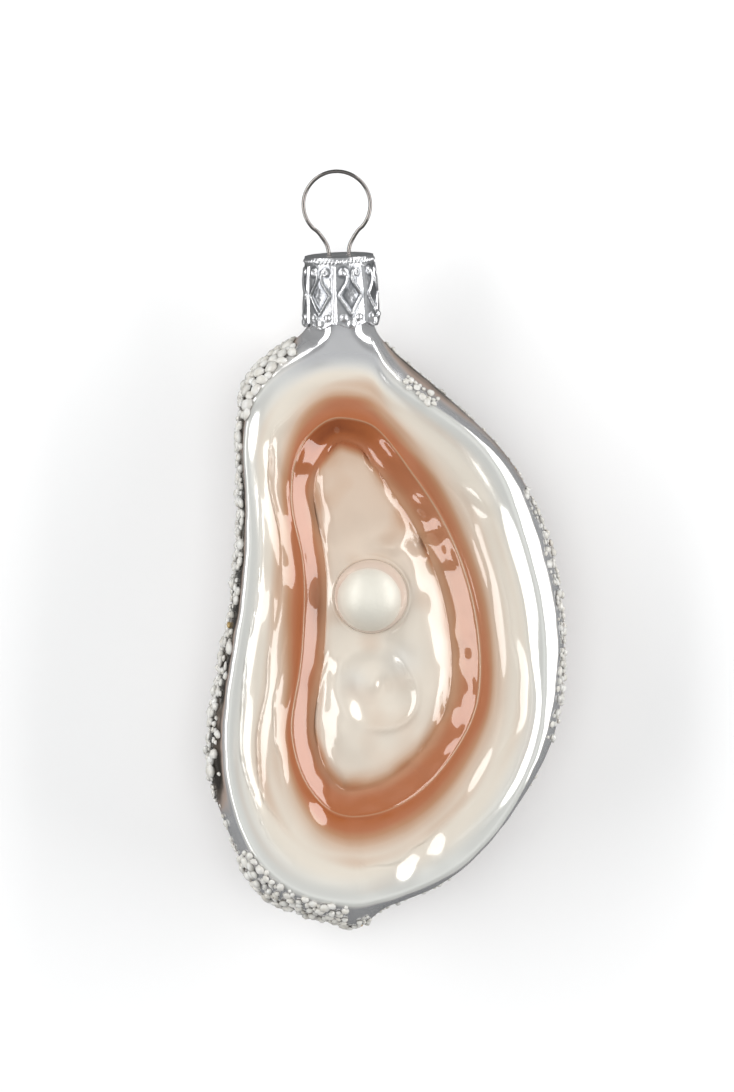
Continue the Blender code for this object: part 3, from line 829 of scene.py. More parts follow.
@dataclass
class Shell:
    """The blown body: outline, heights and relief, and the functions that give its surfaces."""

    neck: Neck
    pearl_centre: Vector
    pearl_radius: float
    # Stations run clockwise round the shell from the middle of the neck's root. Each row holds x and y of the
    # silhouette, x and y of the crest round the hollow, and the share of the way at which the lip stands.
    stations: tuple[tuple[float, float, float, float, float], ...] = (
        (-7.1, 36.7, -6.5, 21.0, 0.34),
        (-1.8, 36.7, -3.2, 20.3, 0.37),
        (0.5, 32.2, -0.7, 18.6, 0.34),
        (6.1, 27.4, 1.9, 15.4, 0.30),
        (13.4, 21.0, 4.6, 11.6, 0.20),
        (20.1, 13.7, 7.9, 6.7, 0.20),
        (25.4, 3.0, 11.6, -0.9, 0.28),
        (28.2, -9.9, 14.3, -10.8, 0.27),
        (28.1, -22.7, 14.9, -21.3, 0.24),
        (25.5, -33.2, 12.7, -29.1, 0.17),
        (17.8, -45.3, 7.3, -36.7, 0.11),
        (8.7, -53.7, 1.1, -41.1, 0.15),
        (-0.1, -57.7, -3.8, -42.4, 0.18),
        (-4.6, -60.8, -6.9, -42.3, 0.28),
        (-12.2, -58.7, -10.0, -40.7, 0.23),
        (-19.9, -55.4, -13.2, -36.3, 0.25),
        (-24.7, -46.6, -14.8, -31.2, 0.20),
        (-28.2, -35.6, -15.0, -26.4, 0.25),
        (-27.1, -22.7, -13.9, -20.0, 0.21),
        (-24.8, -9.9, -13.2, -12.7, 0.20),
        (-23.4, 4.6, -13.2, -2.4, 0.20),
        (-23.5, 17.4, -14.8, 5.4, 0.17),
        (-22.0, 26.6, -14.9, 11.9, 0.21),
        (-16.9, 31.7, -13.0, 17.3, 0.23),
        (-12.4, 36.7, -9.5, 20.5, 0.36),
    )
    neck_side: int = 1
    tip: int = 13
    seam_z: float = 14.0
    seam_waves: tuple[Wave, ...] = (Wave(0.8, 0.9), Wave(0.5, 2.3, 1.0))
    flank_lead: float = 4.5
    lip_z: float = 23.6
    lip_waves: tuple[Wave, ...] = (Wave(0.35, 1.4), Wave(0.2, 3.1))
    lip_neck_drop: float = 3.2
    lip_neck_reach: float = 2.4
    shoulders: tuple[Spot, ...] = (Spot(2.2, 1.8, 1.9), Spot(-2.0, 1.2, 1.9))
    lip_side_drop: float = 0.6
    lip_low_sides: tuple[Stretch, ...] = (Stretch(4.5, 9.8, 2.0), Stretch(16.6, 22.4, 2.0))
    lip_flat: float = 0.3
    lip_round: float = 0.12
    crease_fade: tuple[float, float] = (0.35, 1.3)
    wall_waver: float = 0.16
    wall_waver_size: float = 3.5
    shoulder_share: float = 0.62
    bevel_slope: float = 0.60
    bevel_narrow: float = 0.7
    bevel_gain: float = 1.7
    bevel_broad_side: Stretch = Stretch(4.9, 8.1, 2.2)
    crest_z: float = 19.4
    crest_tilt: float = 0.2
    crest_high_turn: float = 5.2
    crest_wave: float = 0.15
    bead_height: float = 0.15
    bead_width: float = 0.22
    left_turn: float = 4.75
    wall_width: float = 3.95
    wall_width_swing: float = 0.45
    wall_width_spots: tuple[Spot, ...] = (Spot(23.2, 0.9, 0.5), Spot(24.2, 1.6, -0.4))
    wall_fall: float = 1.8
    wall_fall_swing: float = 0.15
    wall_foot: float = 0.8
    wall_top_round: float = 0.12
    wall_foot_round: float = 0.3
    wall_shallow: float = 0.38
    wall_shallow_tip: Stretch = Stretch(9.3, 13.5, 1.6)
    wall_ripple: float = 0.30
    wall_ripple_size: float = 3.0
    tight_ends: tuple[Spot, ...] = (Spot(24.4, 2.4, 0.55), Spot(13.4, 2.4, 0.45))
    cushion_z: float = 18.55
    cushion_waver: float = 0.34
    cushion_waver_size: float = 4.2
    flank_slope: float = 0.56
    flank_round: float = 0.18
    flank_gentle_top: tuple[Spot, ...] = (Spot(24.6, 1.8, 0.6),)
    scar: Vector = field(default_factory=lambda: Vector((-1.5, -21.8, 0.0)))
    scar_radius: float = 6.6
    scar_rim: float = 0.16
    scar_rim_sharp: float = 0.22
    scar_depth: float = 0.55
    # Painted glints on the scar: x, y and size of each cool white spot.
    scar_painted_glints: tuple[tuple[float, float, float], ...] = ((-5.3, -21.2, 2.3), (2.6, -17.5, 2.6))
    dish_step: float = 0.2
    dish_step_run: float = 1.5
    dish_even_neck: tuple[Spot, ...] = (Spot(0.0, 2.0, 0.85),)
    dish_even_side: Stretch = Stretch(7.4, 10.5, 1.2)
    dish_even_share: float = 0.8
    dish_wave: float = 0.20
    dish_hammer: float = 0.14
    dish_hammered: Stretch = Stretch(9.8, 12.8, 1.8)
    seat_gap: float = 0.015
    seat_depth: float = 0.1
    seat_bead: float = 0.09
    seat_bead_gap: float = 0.30
    seat_bead_width: float = 0.16
    foot_centre: Vector = field(default_factory=lambda: Vector((-2.0, -17.0, 0.0)))
    foot_half_width: float = 7.5
    foot_half_length: float = 13.0
    bowl_deepest_y: float = -15.0
    bowl_depth: float = 15.3
    back_ridges: int = 3
    back_ridge_height: float = 0.7
    # Stretch of the left wall that is darkened under the granules: brown earth and painted shade.
    earth_and_shade_left: Stretch = Stretch(16.6, 23.4, 0.8)
    earthy_top_right: Stretch = Stretch(1.8, 5.2, 1.0)
    bare_neck: tuple[Spot, ...] = (Spot(0.0, 2.0, 1.25),)
    white_share: float = 0.34
    # Strength and width of the painted highlight along the crest.
    crest_highlight_pale: float = 0.4
    crest_highlight_width: float = 0.15
    folds: tuple[Fold, ...] = (
        Fold(5.4, 10.6, 0.20, 0.06, -0.26, 1.2),
        Fold(6.2, 9.3, 0.44, 0.07, -0.20, 1.3),
        Fold(4.6, 9.0, 0.70, -0.05, -0.14, 1.2),
        Fold(14.5, 20.6, 0.20, 0.05, 0.46, 2.0),
        Fold(14.9, 19.4, 0.46, -0.06, 0.48, 2.2),
        Fold(15.4, 18.9, 0.72, 0.04, 0.36, 1.7),
        Fold(18.9, 23.2, 0.52, 0.06, 0.34, 1.8),
        Fold(9.8, 12.6, 0.42, 0.07, -0.34, 2.0),
    )
    swells: tuple[Swell, ...] = (
        Swell(4.3, -12.0, 3.4, 12.0, 1.05),
        Swell(-6.6, -28.0, 3.0, 5.5, 0.95),
        Swell(-7.0, 9.0, 3.2, 6.0, 0.3),
        Swell(0.5, 5.5, 2.2, 3.0, -0.3),
    )
    facets: tuple[Facet, ...] = (
        Facet(-1.3, -21.4, 0.5, 0.9, 0.62, 10.0),
        Facet(-8.5, -18.2, 0.5, 0.9, -0.55),
        Facet(-9.7, 6.0, 0.7, 1.8, -0.50, -20.0),
        Facet(2.6, 0.6, 1.1, 0.9, 0.70),
        Facet(4.7, 7.0, 0.4, 2.2, -0.35, -39.0),
        Facet(3.4, -50.2, 1.3, 1.4, -0.36, -20.0),
        Facet(8.0, -47.6, 1.0, 1.8, -0.32, 0.0),
        Facet(-10.4, 15.6, 1.4, 1.4, 0.36, -20.0),
        Facet(-1.8, 14.4, 1.2, 1.6, -0.34, 10.0),
        Facet(-12.6, 31.7, 0.9, 3.4, -0.30, 41.0),
        Facet(-3.2, 33.0, 0.8, 2.2, 0.16, -27.0),
        Facet(-9.4, -26.5, 1.6, 5.0, -0.22, -15.0),
        Facet(14.4, -35.9, 0.4, 2.4, -0.28, 30.0),
        Facet(-10.4, -42.2, 1.0, 1.9, 0.47, -40.0),
        Facet(-18.0, 14.0, 0.7, 2.4, 0.40, -15.0),
        Facet(-16.2, -1.0, 0.7, 2.4, 0.35, -20.0),
        Facet(14.4, 7.6, 0.5, 1.5, -0.40, -35.0),
    )
    sprays: tuple[Spray, ...] = (
        Spray(0.0, 2.0, 4.3, 0.70, 0.92, 3.0),
        Spray(2.5, 2.0, 3.3, 0.64, 0.74, 3.0),
        Spray(5.0, 2.2, 2.4, 0.54, 0.56, 3.0),
        Spray(8.5, 2.5, 2.4, 0.52, 0.58, 2.4),
        Spray(11.5, 2.0, 3.9, 0.80, 0.72, 3.0),
        Spray(13.5, 2.0, 4.2, 0.78, 0.72, 3.0),
        Spray(15.5, 1.5, 2.2, 0.60, 0.64, 1.4),
        Spray(17.5, 1.5, 1.9, 0.52, 0.60, 1.0),
        Spray(19.7, 1.5, 3.6, 0.76, 0.62, 1.0),
        Spray(21.8, 1.5, 2.4, 0.52, 0.60, 1.2),
        Spray(23.7, 1.2, 3.2, 0.70, 1.00, 2.2),
    )
    foot_fade: float = 0.22
    columns: int = 16

    def __post_init__(self) -> None:
        """Works the measured stations out into closed splines and tables."""
        rim = [Vector((row[0], row[1], self.seam_height(i))) for i, row in enumerate(self.stations)]
        rim[self.neck_side] = self.neck.point(0.0, self.neck.radius, 0.0)
        rim[-self.neck_side] = self.neck.point(math.pi, self.neck.radius, 0.0)
        crest = [Vector((row[2], row[3], 0.0)) for row in self.stations]
        lip = [
            Vector((*a.lerp(b, row[4]).xy, self.lip_height(i)))
            for i, (a, b, row) in enumerate(zip(rim, crest, self.stations))
        ]
        up_neck = [rim[k] + self.flank_lead * self.neck.axis() for k in (-self.neck_side, self.neck_side)]
        self.flanks = controls(up_neck[1:] + rim[self.neck_side :] + up_neck[:1])
        self.crest = controls(crest)
        self.lip = controls(lip)
        self.right_flank = self.flank_table(self.neck_side, self.tip)
        self.left_flank = self.flank_table(self.around - self.neck_side, self.tip)

    @property
    def around(self) -> int:
        """Number of stations."""
        return len(self.stations)

    def turn(self, u: float) -> float:
        """Station as an angle that closes on itself."""
        return 2.0 * math.pi * u / self.around

    def from_neck(self, u: float) -> float:
        """Stations between u and the middle of the neck's root, signed."""
        return (u + self.around / 2) % self.around - self.around / 2

    def seam_height(self, u: float) -> float:
        """Height of the silhouette, which waves a little and meets the neck's axis at its root."""
        wave = sum(wave.at(u) for wave in self.seam_waves)
        return self.seam_z + wave * smooth((abs(self.from_neck(u)) - self.neck_side) / 3)

    def lip_height(self, u: float) -> float:
        """Height of the lip, lower where the face runs up into the neck.

        Args:
            u: the station.

        Returns:
            Its height above the resting face.
        """
        near_neck = bell(self.from_neck(u), 0.0, self.lip_neck_reach)
        wave = sum(wave.at(u) for wave in self.lip_waves)
        drop = self.lip_neck_drop * near_neck + self.total(self.shoulders, u)
        drop += self.lip_side_drop * sum(side.share(u) for side in self.lip_low_sides)
        return self.lip_z - drop + wave * (1 - near_neck)

    def crest_height(self, u: float) -> float:
        """Height of the crest round the hollow."""
        tilt = self.crest_tilt * math.cos(self.turn(u) - self.crest_high_turn)
        return self.crest_z + tilt + self.crest_wave * math.sin(3 * self.turn(u))

    def rim_point(self, u: float, side: int) -> Vector:
        """Point on the silhouette, or on the neck's circle at its root.

        Args:
            u: the station.
            side: 1 for the front, -1 for the back.

        Returns:
            The point.
        """
        offset = self.from_neck(u)
        if abs(offset) <= self.neck_side:
            return self.neck.point(side * (1 - offset) * math.pi / 2, self.neck.radius, 0.0)
        return spline(self.flanks, u % self.around)

    def leaving(self, u: float, along: float, across: float) -> Vector:
        """Tangent with which the front leaves the silhouette.

        Args:
            u: the station.
            along: length of the tangent down the neck.
            across: length of the tangent across the silhouette.

        Returns:
            A tangent that lies in the skin, so that front, back and neck meet without a crease.
        """
        offset = self.from_neck(u)
        first, run = self.crease_fade
        share = 1 - smooth((abs(offset) - first) / run)
        down_neck = -self.neck.axis()
        if abs(offset) <= self.neck_side:
            angle = (1 - offset) * math.pi / 2
            towards = 1 if offset > 0 else -1
            circle = self.neck.turn() @ Vector((-math.sin(angle), -math.cos(angle), 0.0))
            return along * share * down_neck + across * (1 - share) * towards * circle
        ahead = (self.rim_point(u + 0.05, 1) - self.rim_point(u - 0.05, 1)).normalized()
        flank = math.copysign(1, offset) * ahead
        down_flank = down_neck.lerp(flank, smooth(abs(offset) - self.neck_side))
        return along * share * down_flank + Vector((0.0, 0.0, across * (1 - share)))

    def lip_point(self, u: float) -> Vector:
        """Point on the lip."""
        return spline(self.lip, u)

    def crest_point(self, u: float) -> Vector:
        """Point on the crest round the hollow."""
        return Vector((*spline(self.crest, u).xy, self.crest_height(u)))

    def outer_wall(self, u: float, s: float) -> Vector:
        """Outer wall from the silhouette, s = 0, up to the lip, s = 1.

        Args:
            u: the station.
            s: the share of the way across.

        Returns:
            The point.
        """
        start = self.rim_point(u, 1)
        end = self.lip_point(u)
        reach = (end - start).length
        inward = (self.crest_point(u) - end).xy.normalized().to_3d()
        arrive = inward * (1.3 * (end - start).xy.length)
        point = hermite(start, self.leaving(u, 1.1 * reach, 1.4 * reach), end, arrive, s)
        bevelled = self.bevelled_wall(u, s, inward)
        point = point.lerp(bevelled, smooth((abs(self.from_neck(u)) - 1.6) / 1.6))
        waver = self.wall_waver * noise.noise(point / self.wall_waver_size)
        out = Vector((start.x - end.x, start.y - end.y, 0.0)).normalized()
        clear = smooth((abs(self.from_neck(u)) - 1.2) / 1.5)
        point.z += self.dents(point.x, point.y) * smooth(s / 0.4)
        return point + out * (waver * clear * math.sin(math.pi * s))

    def bevel_width(self, u: float) -> float:
        """Width of the sloping band outside the lip, broad on the right."""
        return self.bevel_narrow + self.bevel_gain * self.bevel_broad_side.share(u)

    def bevel_drop(self, out: float) -> float:
        """How far the band outside the lip has dropped, at a distance outward of it."""
        return self.bevel_slope * soft_ramp(out - self.lip_flat, self.lip_round)

    def bevelled_wall(self, u: float, s: float, inward: Vector) -> Vector:
        """Outer wall that climbs steeply to a shoulder, then slopes up to the lip as an even band.

        Args:
            u: the station.
            s: the share of the way up.
            inward: level direction from the lip to the crest.

        Returns:
            The point.
        """
        start = self.rim_point(u, 1)
        lip = self.lip_point(u)
        width = self.bevel_width(u)
        if s > self.shoulder_share:
            out = width * (1 - s) / (1 - self.shoulder_share)
            return lip - inward * out - UP * self.bevel_drop(out)
        shoulder = lip - inward * width - UP * self.bevel_drop(width)
        reach = (shoulder - start).length
        arrive = (inward + self.bevel_slope * UP) * (1.2 * (shoulder - start).xy.length)
        return hermite(start, UP * (1.5 * reach), shoulder, arrive, s / self.shoulder_share)

    def leftness(self, u: float) -> float:
        """1 on the left side of the hollow, where its wall is narrow, and -1 on its right."""
        return math.cos(self.turn(u) - self.left_turn)

    def wall_run(self, u: float) -> float:
        """Width of the hollow's wall with its rounded foot, seen from above."""
        swing = self.wall_width_swing * self.leftness(u)
        return self.wall_width - swing + self.total(self.wall_width_spots, u)

    def wall_drop(self, u: float, inward: float) -> float:
        """How far the surface has dropped, at a distance inward of the crest.

        Args:
            u: the station.
            inward: distance in from the crest.

        Returns:
            The drop.
        """
        run = self.wall_run(u) - self.wall_foot
        shallow = 1 - self.wall_shallow * self.wall_shallow_tip.share(u)
        slope = shallow * (self.wall_fall - self.wall_fall_swing * self.leftness(u)) / run
        level = soft_ramp(inward - run, self.wall_foot_round)
        return slope * (soft_ramp(inward, self.wall_top_round) - level)

    def crest_bead(self, inward: float) -> float:
        """The thin raised line along the crest, at a distance inward of it."""
        return self.bead_height * bell(inward, 0.0, self.bead_width)

    def dish_waver(self, u: float, s: float) -> float:
        """Long shallow waves of the dish, which run along the lip.

        Args:
            u: the station.
            s: the share of the way across.

        Returns:
            The height of the waves there.
        """
        turn = self.turn(u)
        place = Vector((3.2 * math.cos(turn), 3.2 * math.sin(turn), 4.0 * s))
        long_waves = self.dish_wave * noise.noise(place)
        place = Vector((10.0 * math.cos(turn), 10.0 * math.sin(turn), 2.0 * s))
        hammered = self.dish_hammer * noise.noise(place) * self.dish_hammered.share(u)
        return (long_waves + hammered) * smooth(s / 0.2) * smooth((1 - s) / 0.1)

    def dish_point(self, u: float, s: float) -> Vector:
        """Slope from the lip, s = 0, in to the hollow's crest, s = 1: a rounded step, then a gentle fall.

        Args:
            u: the station.
            s: the share of the way across.

        Returns:
            The point.
        """
        lip = self.lip_point(u)
        crest = self.crest_point(u)
        width = (crest - lip).xy.length
        point = lip.lerp(crest, s)
        even_side = self.dish_even_share * self.dish_even_side.share(u)
        even = max(self.total(self.dish_even_neck, u), even_side)
        step = self.dish_step * (1 - even)
        point.z -= step * (1 - math.exp(-((s * width / self.dish_step_run) ** 2)) - s)
        point.z += sum(fold.height(u, s, width) for fold in self.folds) + self.dish_waver(u, s)
        inward = (s - 1) * width
        point.z += self.crest_bead(inward) - self.wall_drop(u, inward)
        point.z += self.dents(point.x, point.y)
        return point

    def hollow_normal(self, u: float) -> Vector:
        """Level direction inward from the crest, turned towards the pearl at the hollow's two tight ends.

        Args:
            u: the station.

        Returns:
            The direction.
        """
        along = spline(self.crest, u + 0.8) - spline(self.crest, u - 0.8)
        normal = Vector((along.y, -along.x, 0.0)).normalized()
        to_pearl = (self.pearl_centre - spline(self.crest, u)).xy.to_3d().normalized()
        return normal.lerp(to_pearl, self.total(self.tight_ends, u)).normalized()

    def hollow_wall(self, u: float, inward: float) -> Vector:
        """Wall of the hollow, with the hammered ripple that is strongest on its right side.

        Args:
            u: the station.
            inward: distance in from the crest.

        Returns:
            The point.
        """
        point = self.crest_point(u) + self.hollow_normal(u) * inward
        point.z += self.crest_bead(inward) - self.wall_drop(u, inward)
        ripple = self.wall_ripple * noise.noise(Vector((point.x, point.y, 0.0)) / self.wall_ripple_size)
        point.z += ripple * (0.6 - 0.4 * self.leftness(u)) * smooth(inward / 1.5)
        point.z += self.dents(point.x, point.y)
        return point

    def wall_point(self, u: float, s: float) -> Vector:
        """Wall of the hollow from its crest, s = 0, to its foot, s = 1."""
        return self.hollow_wall(u, s * self.wall_run(u))

    def cushion_top(self, x: float, y: float) -> float:
        """Height of the cushion's broad top at a place."""
        return self.cushion_z + sum(swell.height(x, y) for swell in self.swells)

    def cushion_relief(self, x: float, y: float) -> float:
        """The scar's ring and the hammered waver of the cushion."""
        waver = noise.noise(Vector((x, y, 7.0)) / self.cushion_waver_size)
        return self.scar_relief(x, y) + self.cushion_waver * waver

    def dents(self, x: float, y: float) -> float:
        """Height that the facets add together."""
        return sum(facet.height(x, y) for facet in self.facets)

    def scar_relief(self, x: float, y: float) -> float:
        """The muscle scar below the pearl: a shallow dish with an uneven rim, sharpest at its lower right.

        Args:
            x: distance to the right.
            y: distance towards the neck.

        Returns:
            The height that the scar adds.
        """
        away = Vector((x - self.scar.x, y - self.scar.y))
        angle = math.atan2(away.y, away.x)
        from_scar = away.length * (1 + 0.07 * math.sin(2 * angle + 0.6) + 0.04 * math.sin(3 * angle))
        sharp = bell(math.sin((angle + 0.8) / 2), 0.0, 0.5)
        rim = self.scar_rim + self.scar_rim_sharp * sharp
        rim *= bell(from_scar, self.scar_radius, 0.9 - 0.45 * sharp)
        dish = self.scar_depth * smooth((self.scar_radius - from_scar) / 3.5)
        return (rim - dish) * smooth((self.scar.y + 7.8 - y) / 4)

    def seat_angle(self, u: float) -> float:
        """Direction from the pearl to the hollow's crest at station u."""
        away = spline(self.crest, u) - self.pearl_centre
        return math.atan2(away.y, away.x)

    def cushion_point(self, u: float, s: float) -> Vector:
        """Raised cushion from the foot of the hollow's wall, s = 0, in to the pearl's seat, s = 1.

        Args:
            u: the station.
            s: the share of the way across.

        Returns:
            The point.
        """
        foot = self.hollow_wall(u, self.wall_run(u))
        seat = self.seat_point(u)
        point = foot.lerp(seat, s)
        reach = (seat - foot).xy
        inward = s * reach.length * max(0.3, reach.normalized().dot(self.hollow_normal(u).xy))
        climb = foot.z + (self.foot_level(u) - foot.z) * smooth(inward / 1.2)
        gentle = 1 - self.total(self.flank_gentle_top, u)
        climb += self.flank_slope * gentle * soft_ramp(inward, 0.15)
        top = self.cushion_top(point.x, point.y)
        point.z = top - soft_ramp(top - climb, self.flank_round)
        point.z += self.cushion_relief(point.x, point.y) * smooth(inward / 3) + self.dents(point.x, point.y)
        gap = (1 - s) * reach.length
        point.z += (seat.z - point.z) * smooth(1.15 - gap / 0.9)
        point.z += self.seat_bead * bell(gap, self.seat_bead_gap, self.seat_bead_width)
        return point

    def foot_level(self, u: float) -> float:
        """Height of the foot of the hollow's wall without its ripple."""
        return self.crest_height(u) - self.wall_drop(u, self.wall_run(u))

    def seat_point(self, u: float) -> Vector:
        """Where the cushion meets the pearl, in the direction of station u.

        Args:
            u: the station.

        Returns:
            The point.
        """
        angle = self.seat_angle(u)
        ahead = Vector((math.cos(angle), math.sin(angle), 0.0))
        touching = self.pearl_centre + ahead * self.pearl_radius
        level = self.cushion_top(touching.x, touching.y) + 0.5 * self.cushion_relief(touching.x, touching.y)
        rise = level - self.seat_depth - self.pearl_centre.z
        flat = math.sqrt((self.pearl_radius + self.seat_gap) ** 2 - rise**2)
        return self.pearl_centre + ahead * flat + UP * rise

    def socket_point(self, u: float, s: float) -> Vector:
        """Round socket under the pearl, from its edge, s = 0, towards its lowest point, s = 1.

        Args:
            u: the station.
            s: the share of the way across.

        Returns:
            The point.
        """
        radius = self.pearl_radius + self.seat_gap
        edge = math.asin((self.pearl_centre.z - self.seat_point(u).z) / radius)
        dip = edge + s * (math.pi / 2 - edge)
        angle = self.seat_angle(u)
        flat = radius * math.cos(dip)
        below = radius * math.sin(dip)
        return self.pearl_centre + Vector((flat * math.cos(angle), flat * math.sin(angle), -below))

    def flank_table(self, first: float, last: float) -> np.ndarray:
        """Samples of one flank from the neck down to the tip, as rows of y, x and z in order of rising y.

        Args:
            first: the station at the neck.
            last: the station at the tip.

        Returns:
            Rows of y, x and z, in order of rising y.
        """
        samples = [self.rim_point(first + (last - first) * k / 600, -1) for k in range(601)]
        samples.sort(key=lambda sample: sample.y)
        return np.array([(sample.y, sample.x, sample.z) for sample in samples]).T

    def keel_height(self, y: float) -> float:
        """Height of the lowest line of the back, before the foot cuts it flat.

        Args:
            y: distance towards the neck.

        Returns:
            The height above the resting face.
        """
        lowest = self.seam_z - self.bowl_depth
        if y < self.bowl_deepest_y:
            share = min(1.0, (self.bowl_deepest_y - y) / (self.bowl_deepest_y - self.right_flank[0][0]))
            return self.seam_z - self.bowl_depth * math.sqrt(1 - share**2.4)
        run = self.neck.root.y - self.bowl_deepest_y
        rise = self.neck.root.z - self.neck.radius - lowest
        share = min(1.0, (y - self.bowl_deepest_y) / run)
        slope = math.tan(self.neck.lift) * run / rise
        return lowest + rise * ((3 - slope) * share**2 + (slope - 2) * share**3)

    def bowl_height(self, x: float, y: float) -> float:
        """Height of the back, half an ellipse in each section across the shell.

        Args:
            x: distance to the right.
            y: distance towards the neck.

        Returns:
            The height above the resting face.
        """
        right_x, right_z = (float(np.interp(y, self.right_flank[0], row)) for row in self.right_flank[1:])
        left_x, left_z = (float(np.interp(y, self.left_flank[0], row)) for row in self.left_flank[1:])
        across = (2 * x - left_x - right_x) / max(0.01, right_x - left_x)
        across = min(1.0, max(-1.0, across))
        seam = left_z + (right_z - left_z) * (across + 1) / 2
        return seam - (seam - self.keel_height(y)) * math.sqrt(1 - across**2)

    def foot_angle(self, u: float) -> float:
        """Place on the foot's ellipse that faces the silhouette, spread evenly near the neck.

        Args:
            u: the station.

        Returns:
            The angle on the ellipse.
        """
        offset = self.from_neck(u)
        if abs(offset) < 3:
            low, high = self.foot_angle(-3), self.foot_angle(3)
            return low + (high - low) * (offset + 3) / 6
        away = self.rim_point(u, -1) - self.foot_centre
        return math.atan2(away.y / self.foot_half_length, away.x / self.foot_half_width)

    def back_point(self, u: float, s: float) -> Vector:
        """Back of the shell from the silhouette, s = 0, to the resting foot, s = 1, with growth ridges.

        Args:
            u: the station.
            s: the share of the way across.

        Returns:
            The point.
        """
        start = self.rim_point(u, -1)
        angle = self.foot_angle(u)
        reach = Vector((self.foot_half_width * math.cos(angle), self.foot_half_length * math.sin(angle), 0.0))
        point = start.lerp(self.foot_centre + reach, 1 - math.cos(s * math.pi / 2))
        start_gap = start.z - self.bowl_height(start.x, start.y)
        point.z = self.bowl_height(point.x, point.y) + start_gap * (1 - smooth(s / 0.5))
        point.z = soft_ramp(point.z, 0.25) * (1 - smooth((s - 0.85) / 0.15))
        turn = self.turn(u)
        phase = s * self.back_ridges + 0.2 * math.sin(3 * turn) + 0.1 * math.sin(7 * turn)
        ridge = 0.5 - 0.5 * math.cos(2 * math.pi * phase)
        rough = noise.noise(Vector((point.x, point.y, 3)) / 9)
        fine = 0.35 * abs(math.sin(5.0 * math.pi * phase + 2.0 * rough)) * noise.noise(point / 4.0)
        fade = smooth(s / 0.15) * smooth((1 - s) / 0.3) * smooth((abs(self.from_neck(u)) - 0.8) / 2)
        outward = (point - Vector((self.foot_centre.x, point.y * 0.8 - 2.7, self.seam_z))).normalized()
        point += outward * (fade * self.back_ridge_height * (ridge - 0.5 + 0.6 * rough + fine))
        point.z = max(0.0, point.z)
        return point

    def skin(self, u: float, s: float) -> tuple[Vector, Vector]:
        """Point and outward direction on the outer skin.

        Args:
            u: the station.
            s: above 0 the share of the way up the wall, below 0 that of the way round the back.

        Returns:
            The point and the direction out of the skin.
        """

        def place(a: float, b: float) -> Vector:
            """Point of the wall or the back."""
            return self.outer_wall(a, b) if b >= 0 else self.back_point(a, -b)

        point = place(u, s)
        across = place(u + 0.04, s) - place(u - 0.04, s)
        along = place(u, s + 0.015) - place(u, s - 0.015)
        outward = along.cross(across).normalized()
        centre = Vector((0.6 * point.x, 0.8 * point.y - 2.0, self.seam_z - 4.0))
        if outward.dot(point - centre) < 0:
            outward.negate()
        return point, outward

    def spray_at(self, u: float) -> Spray:
        """The peach spray at a station, blended from the ones given round it.

        Args:
            u: the station.

        Returns:
            The spray.
        """
        weights = [bell(self.nearest(u, spray.station), 0.0, spray.half_width) for spray in self.sprays]
        total = sum(weights)
        means = (
            sum(weight * getattr(spray, name) for weight, spray in zip(weights, self.sprays)) / total
            for name in ("outer_reach", "outside", "wall", "inner_reach")
        )
        return Spray(u, 0.0, *means)

    def total(self, spots: Iterable[Spot], u: float) -> float:
        """Sum of what the spots amount to at a station."""
        return sum(spot.amount * bell(self.nearest(u, spot.station), 0.0, spot.width) for spot in spots)

    def nearest(self, u: float, station: float) -> float:
        """Shortest signed way round from a station to u."""
        return (u - station + self.around / 2) % self.around - self.around / 2

    def tones(self, zone: Zone, u: float, s: float, point: Vector) -> Tones:
        """Finish of the skin at one vertex.

        Args:
            zone: the part of the skin.
            u: the station.
            s: the share of the way across the zone.
            point: the vertex in the shell's own millimetres.

        Returns:
            How much lacquer, peach spray, cool white (with painted glints on the scar) and brown earth with
            painted shade there is, each from 0 to 1.
        """
        u %= self.around
        if zone is Zone.BACK:
            # Brown earth at random, darker towards the silhouette.
            return 0.0, 0.0, 0.0, 0.45 + 0.35 * noise.noise(point / 6.0) + 0.3 * bell(s, 0.05, 0.15)
        if zone is Zone.WALL:
            return self.wall_tones(u, s, point)
        if zone is Zone.DISH:
            return self.dish_tones(u, s)
        if zone is Zone.HOLLOW:
            return self.hollow_tones(u, s)
        if zone is Zone.CUSHION:
            return self.cushion_tones(u, s, point)
        return 1.0, 0.1, 0.0, 0.0

    def wall_tones(self, u: float, s: float, point: Vector) -> Tones:
        """Finish of the outer wall: earthy on two sides, with painted shade under the left granules and at
        the silhouette, lacquered near the lip and clean by the neck.

        Args:
            u: the station.
            s: the share of the way across.
            point: the vertex.

        Returns:
            Lacquer, peach, white, and earth with painted shade.
        """
        near_neck = bell(self.from_neck(u), 0.0, 1.3)
        lacquer = smooth((s - 0.57) / 0.10) * (1 - smooth(self.total(self.bare_neck, u)))
        patchy = 1 + 0.5 * noise.noise(point / 2.5)
        # Brown earth with painted shade: dark under the left granules and along the silhouette; the top right
        # is brown earth only.
        earth_and_shade = 0.12 + 0.95 * self.earth_and_shade_left.share(u) * patchy * smooth((0.60 - s) / 0.15)
        earth_and_shade += 0.5 * self.earthy_top_right.share(u) * smooth((0.5 - s) / 0.3)
        earth_and_shade += 0.4 * bell(s, 0.0, 0.12) * (1 - near_neck)
        return lacquer, 0.0, max(0.9 * lacquer, near_neck), earth_and_shade * (1 - near_neck)

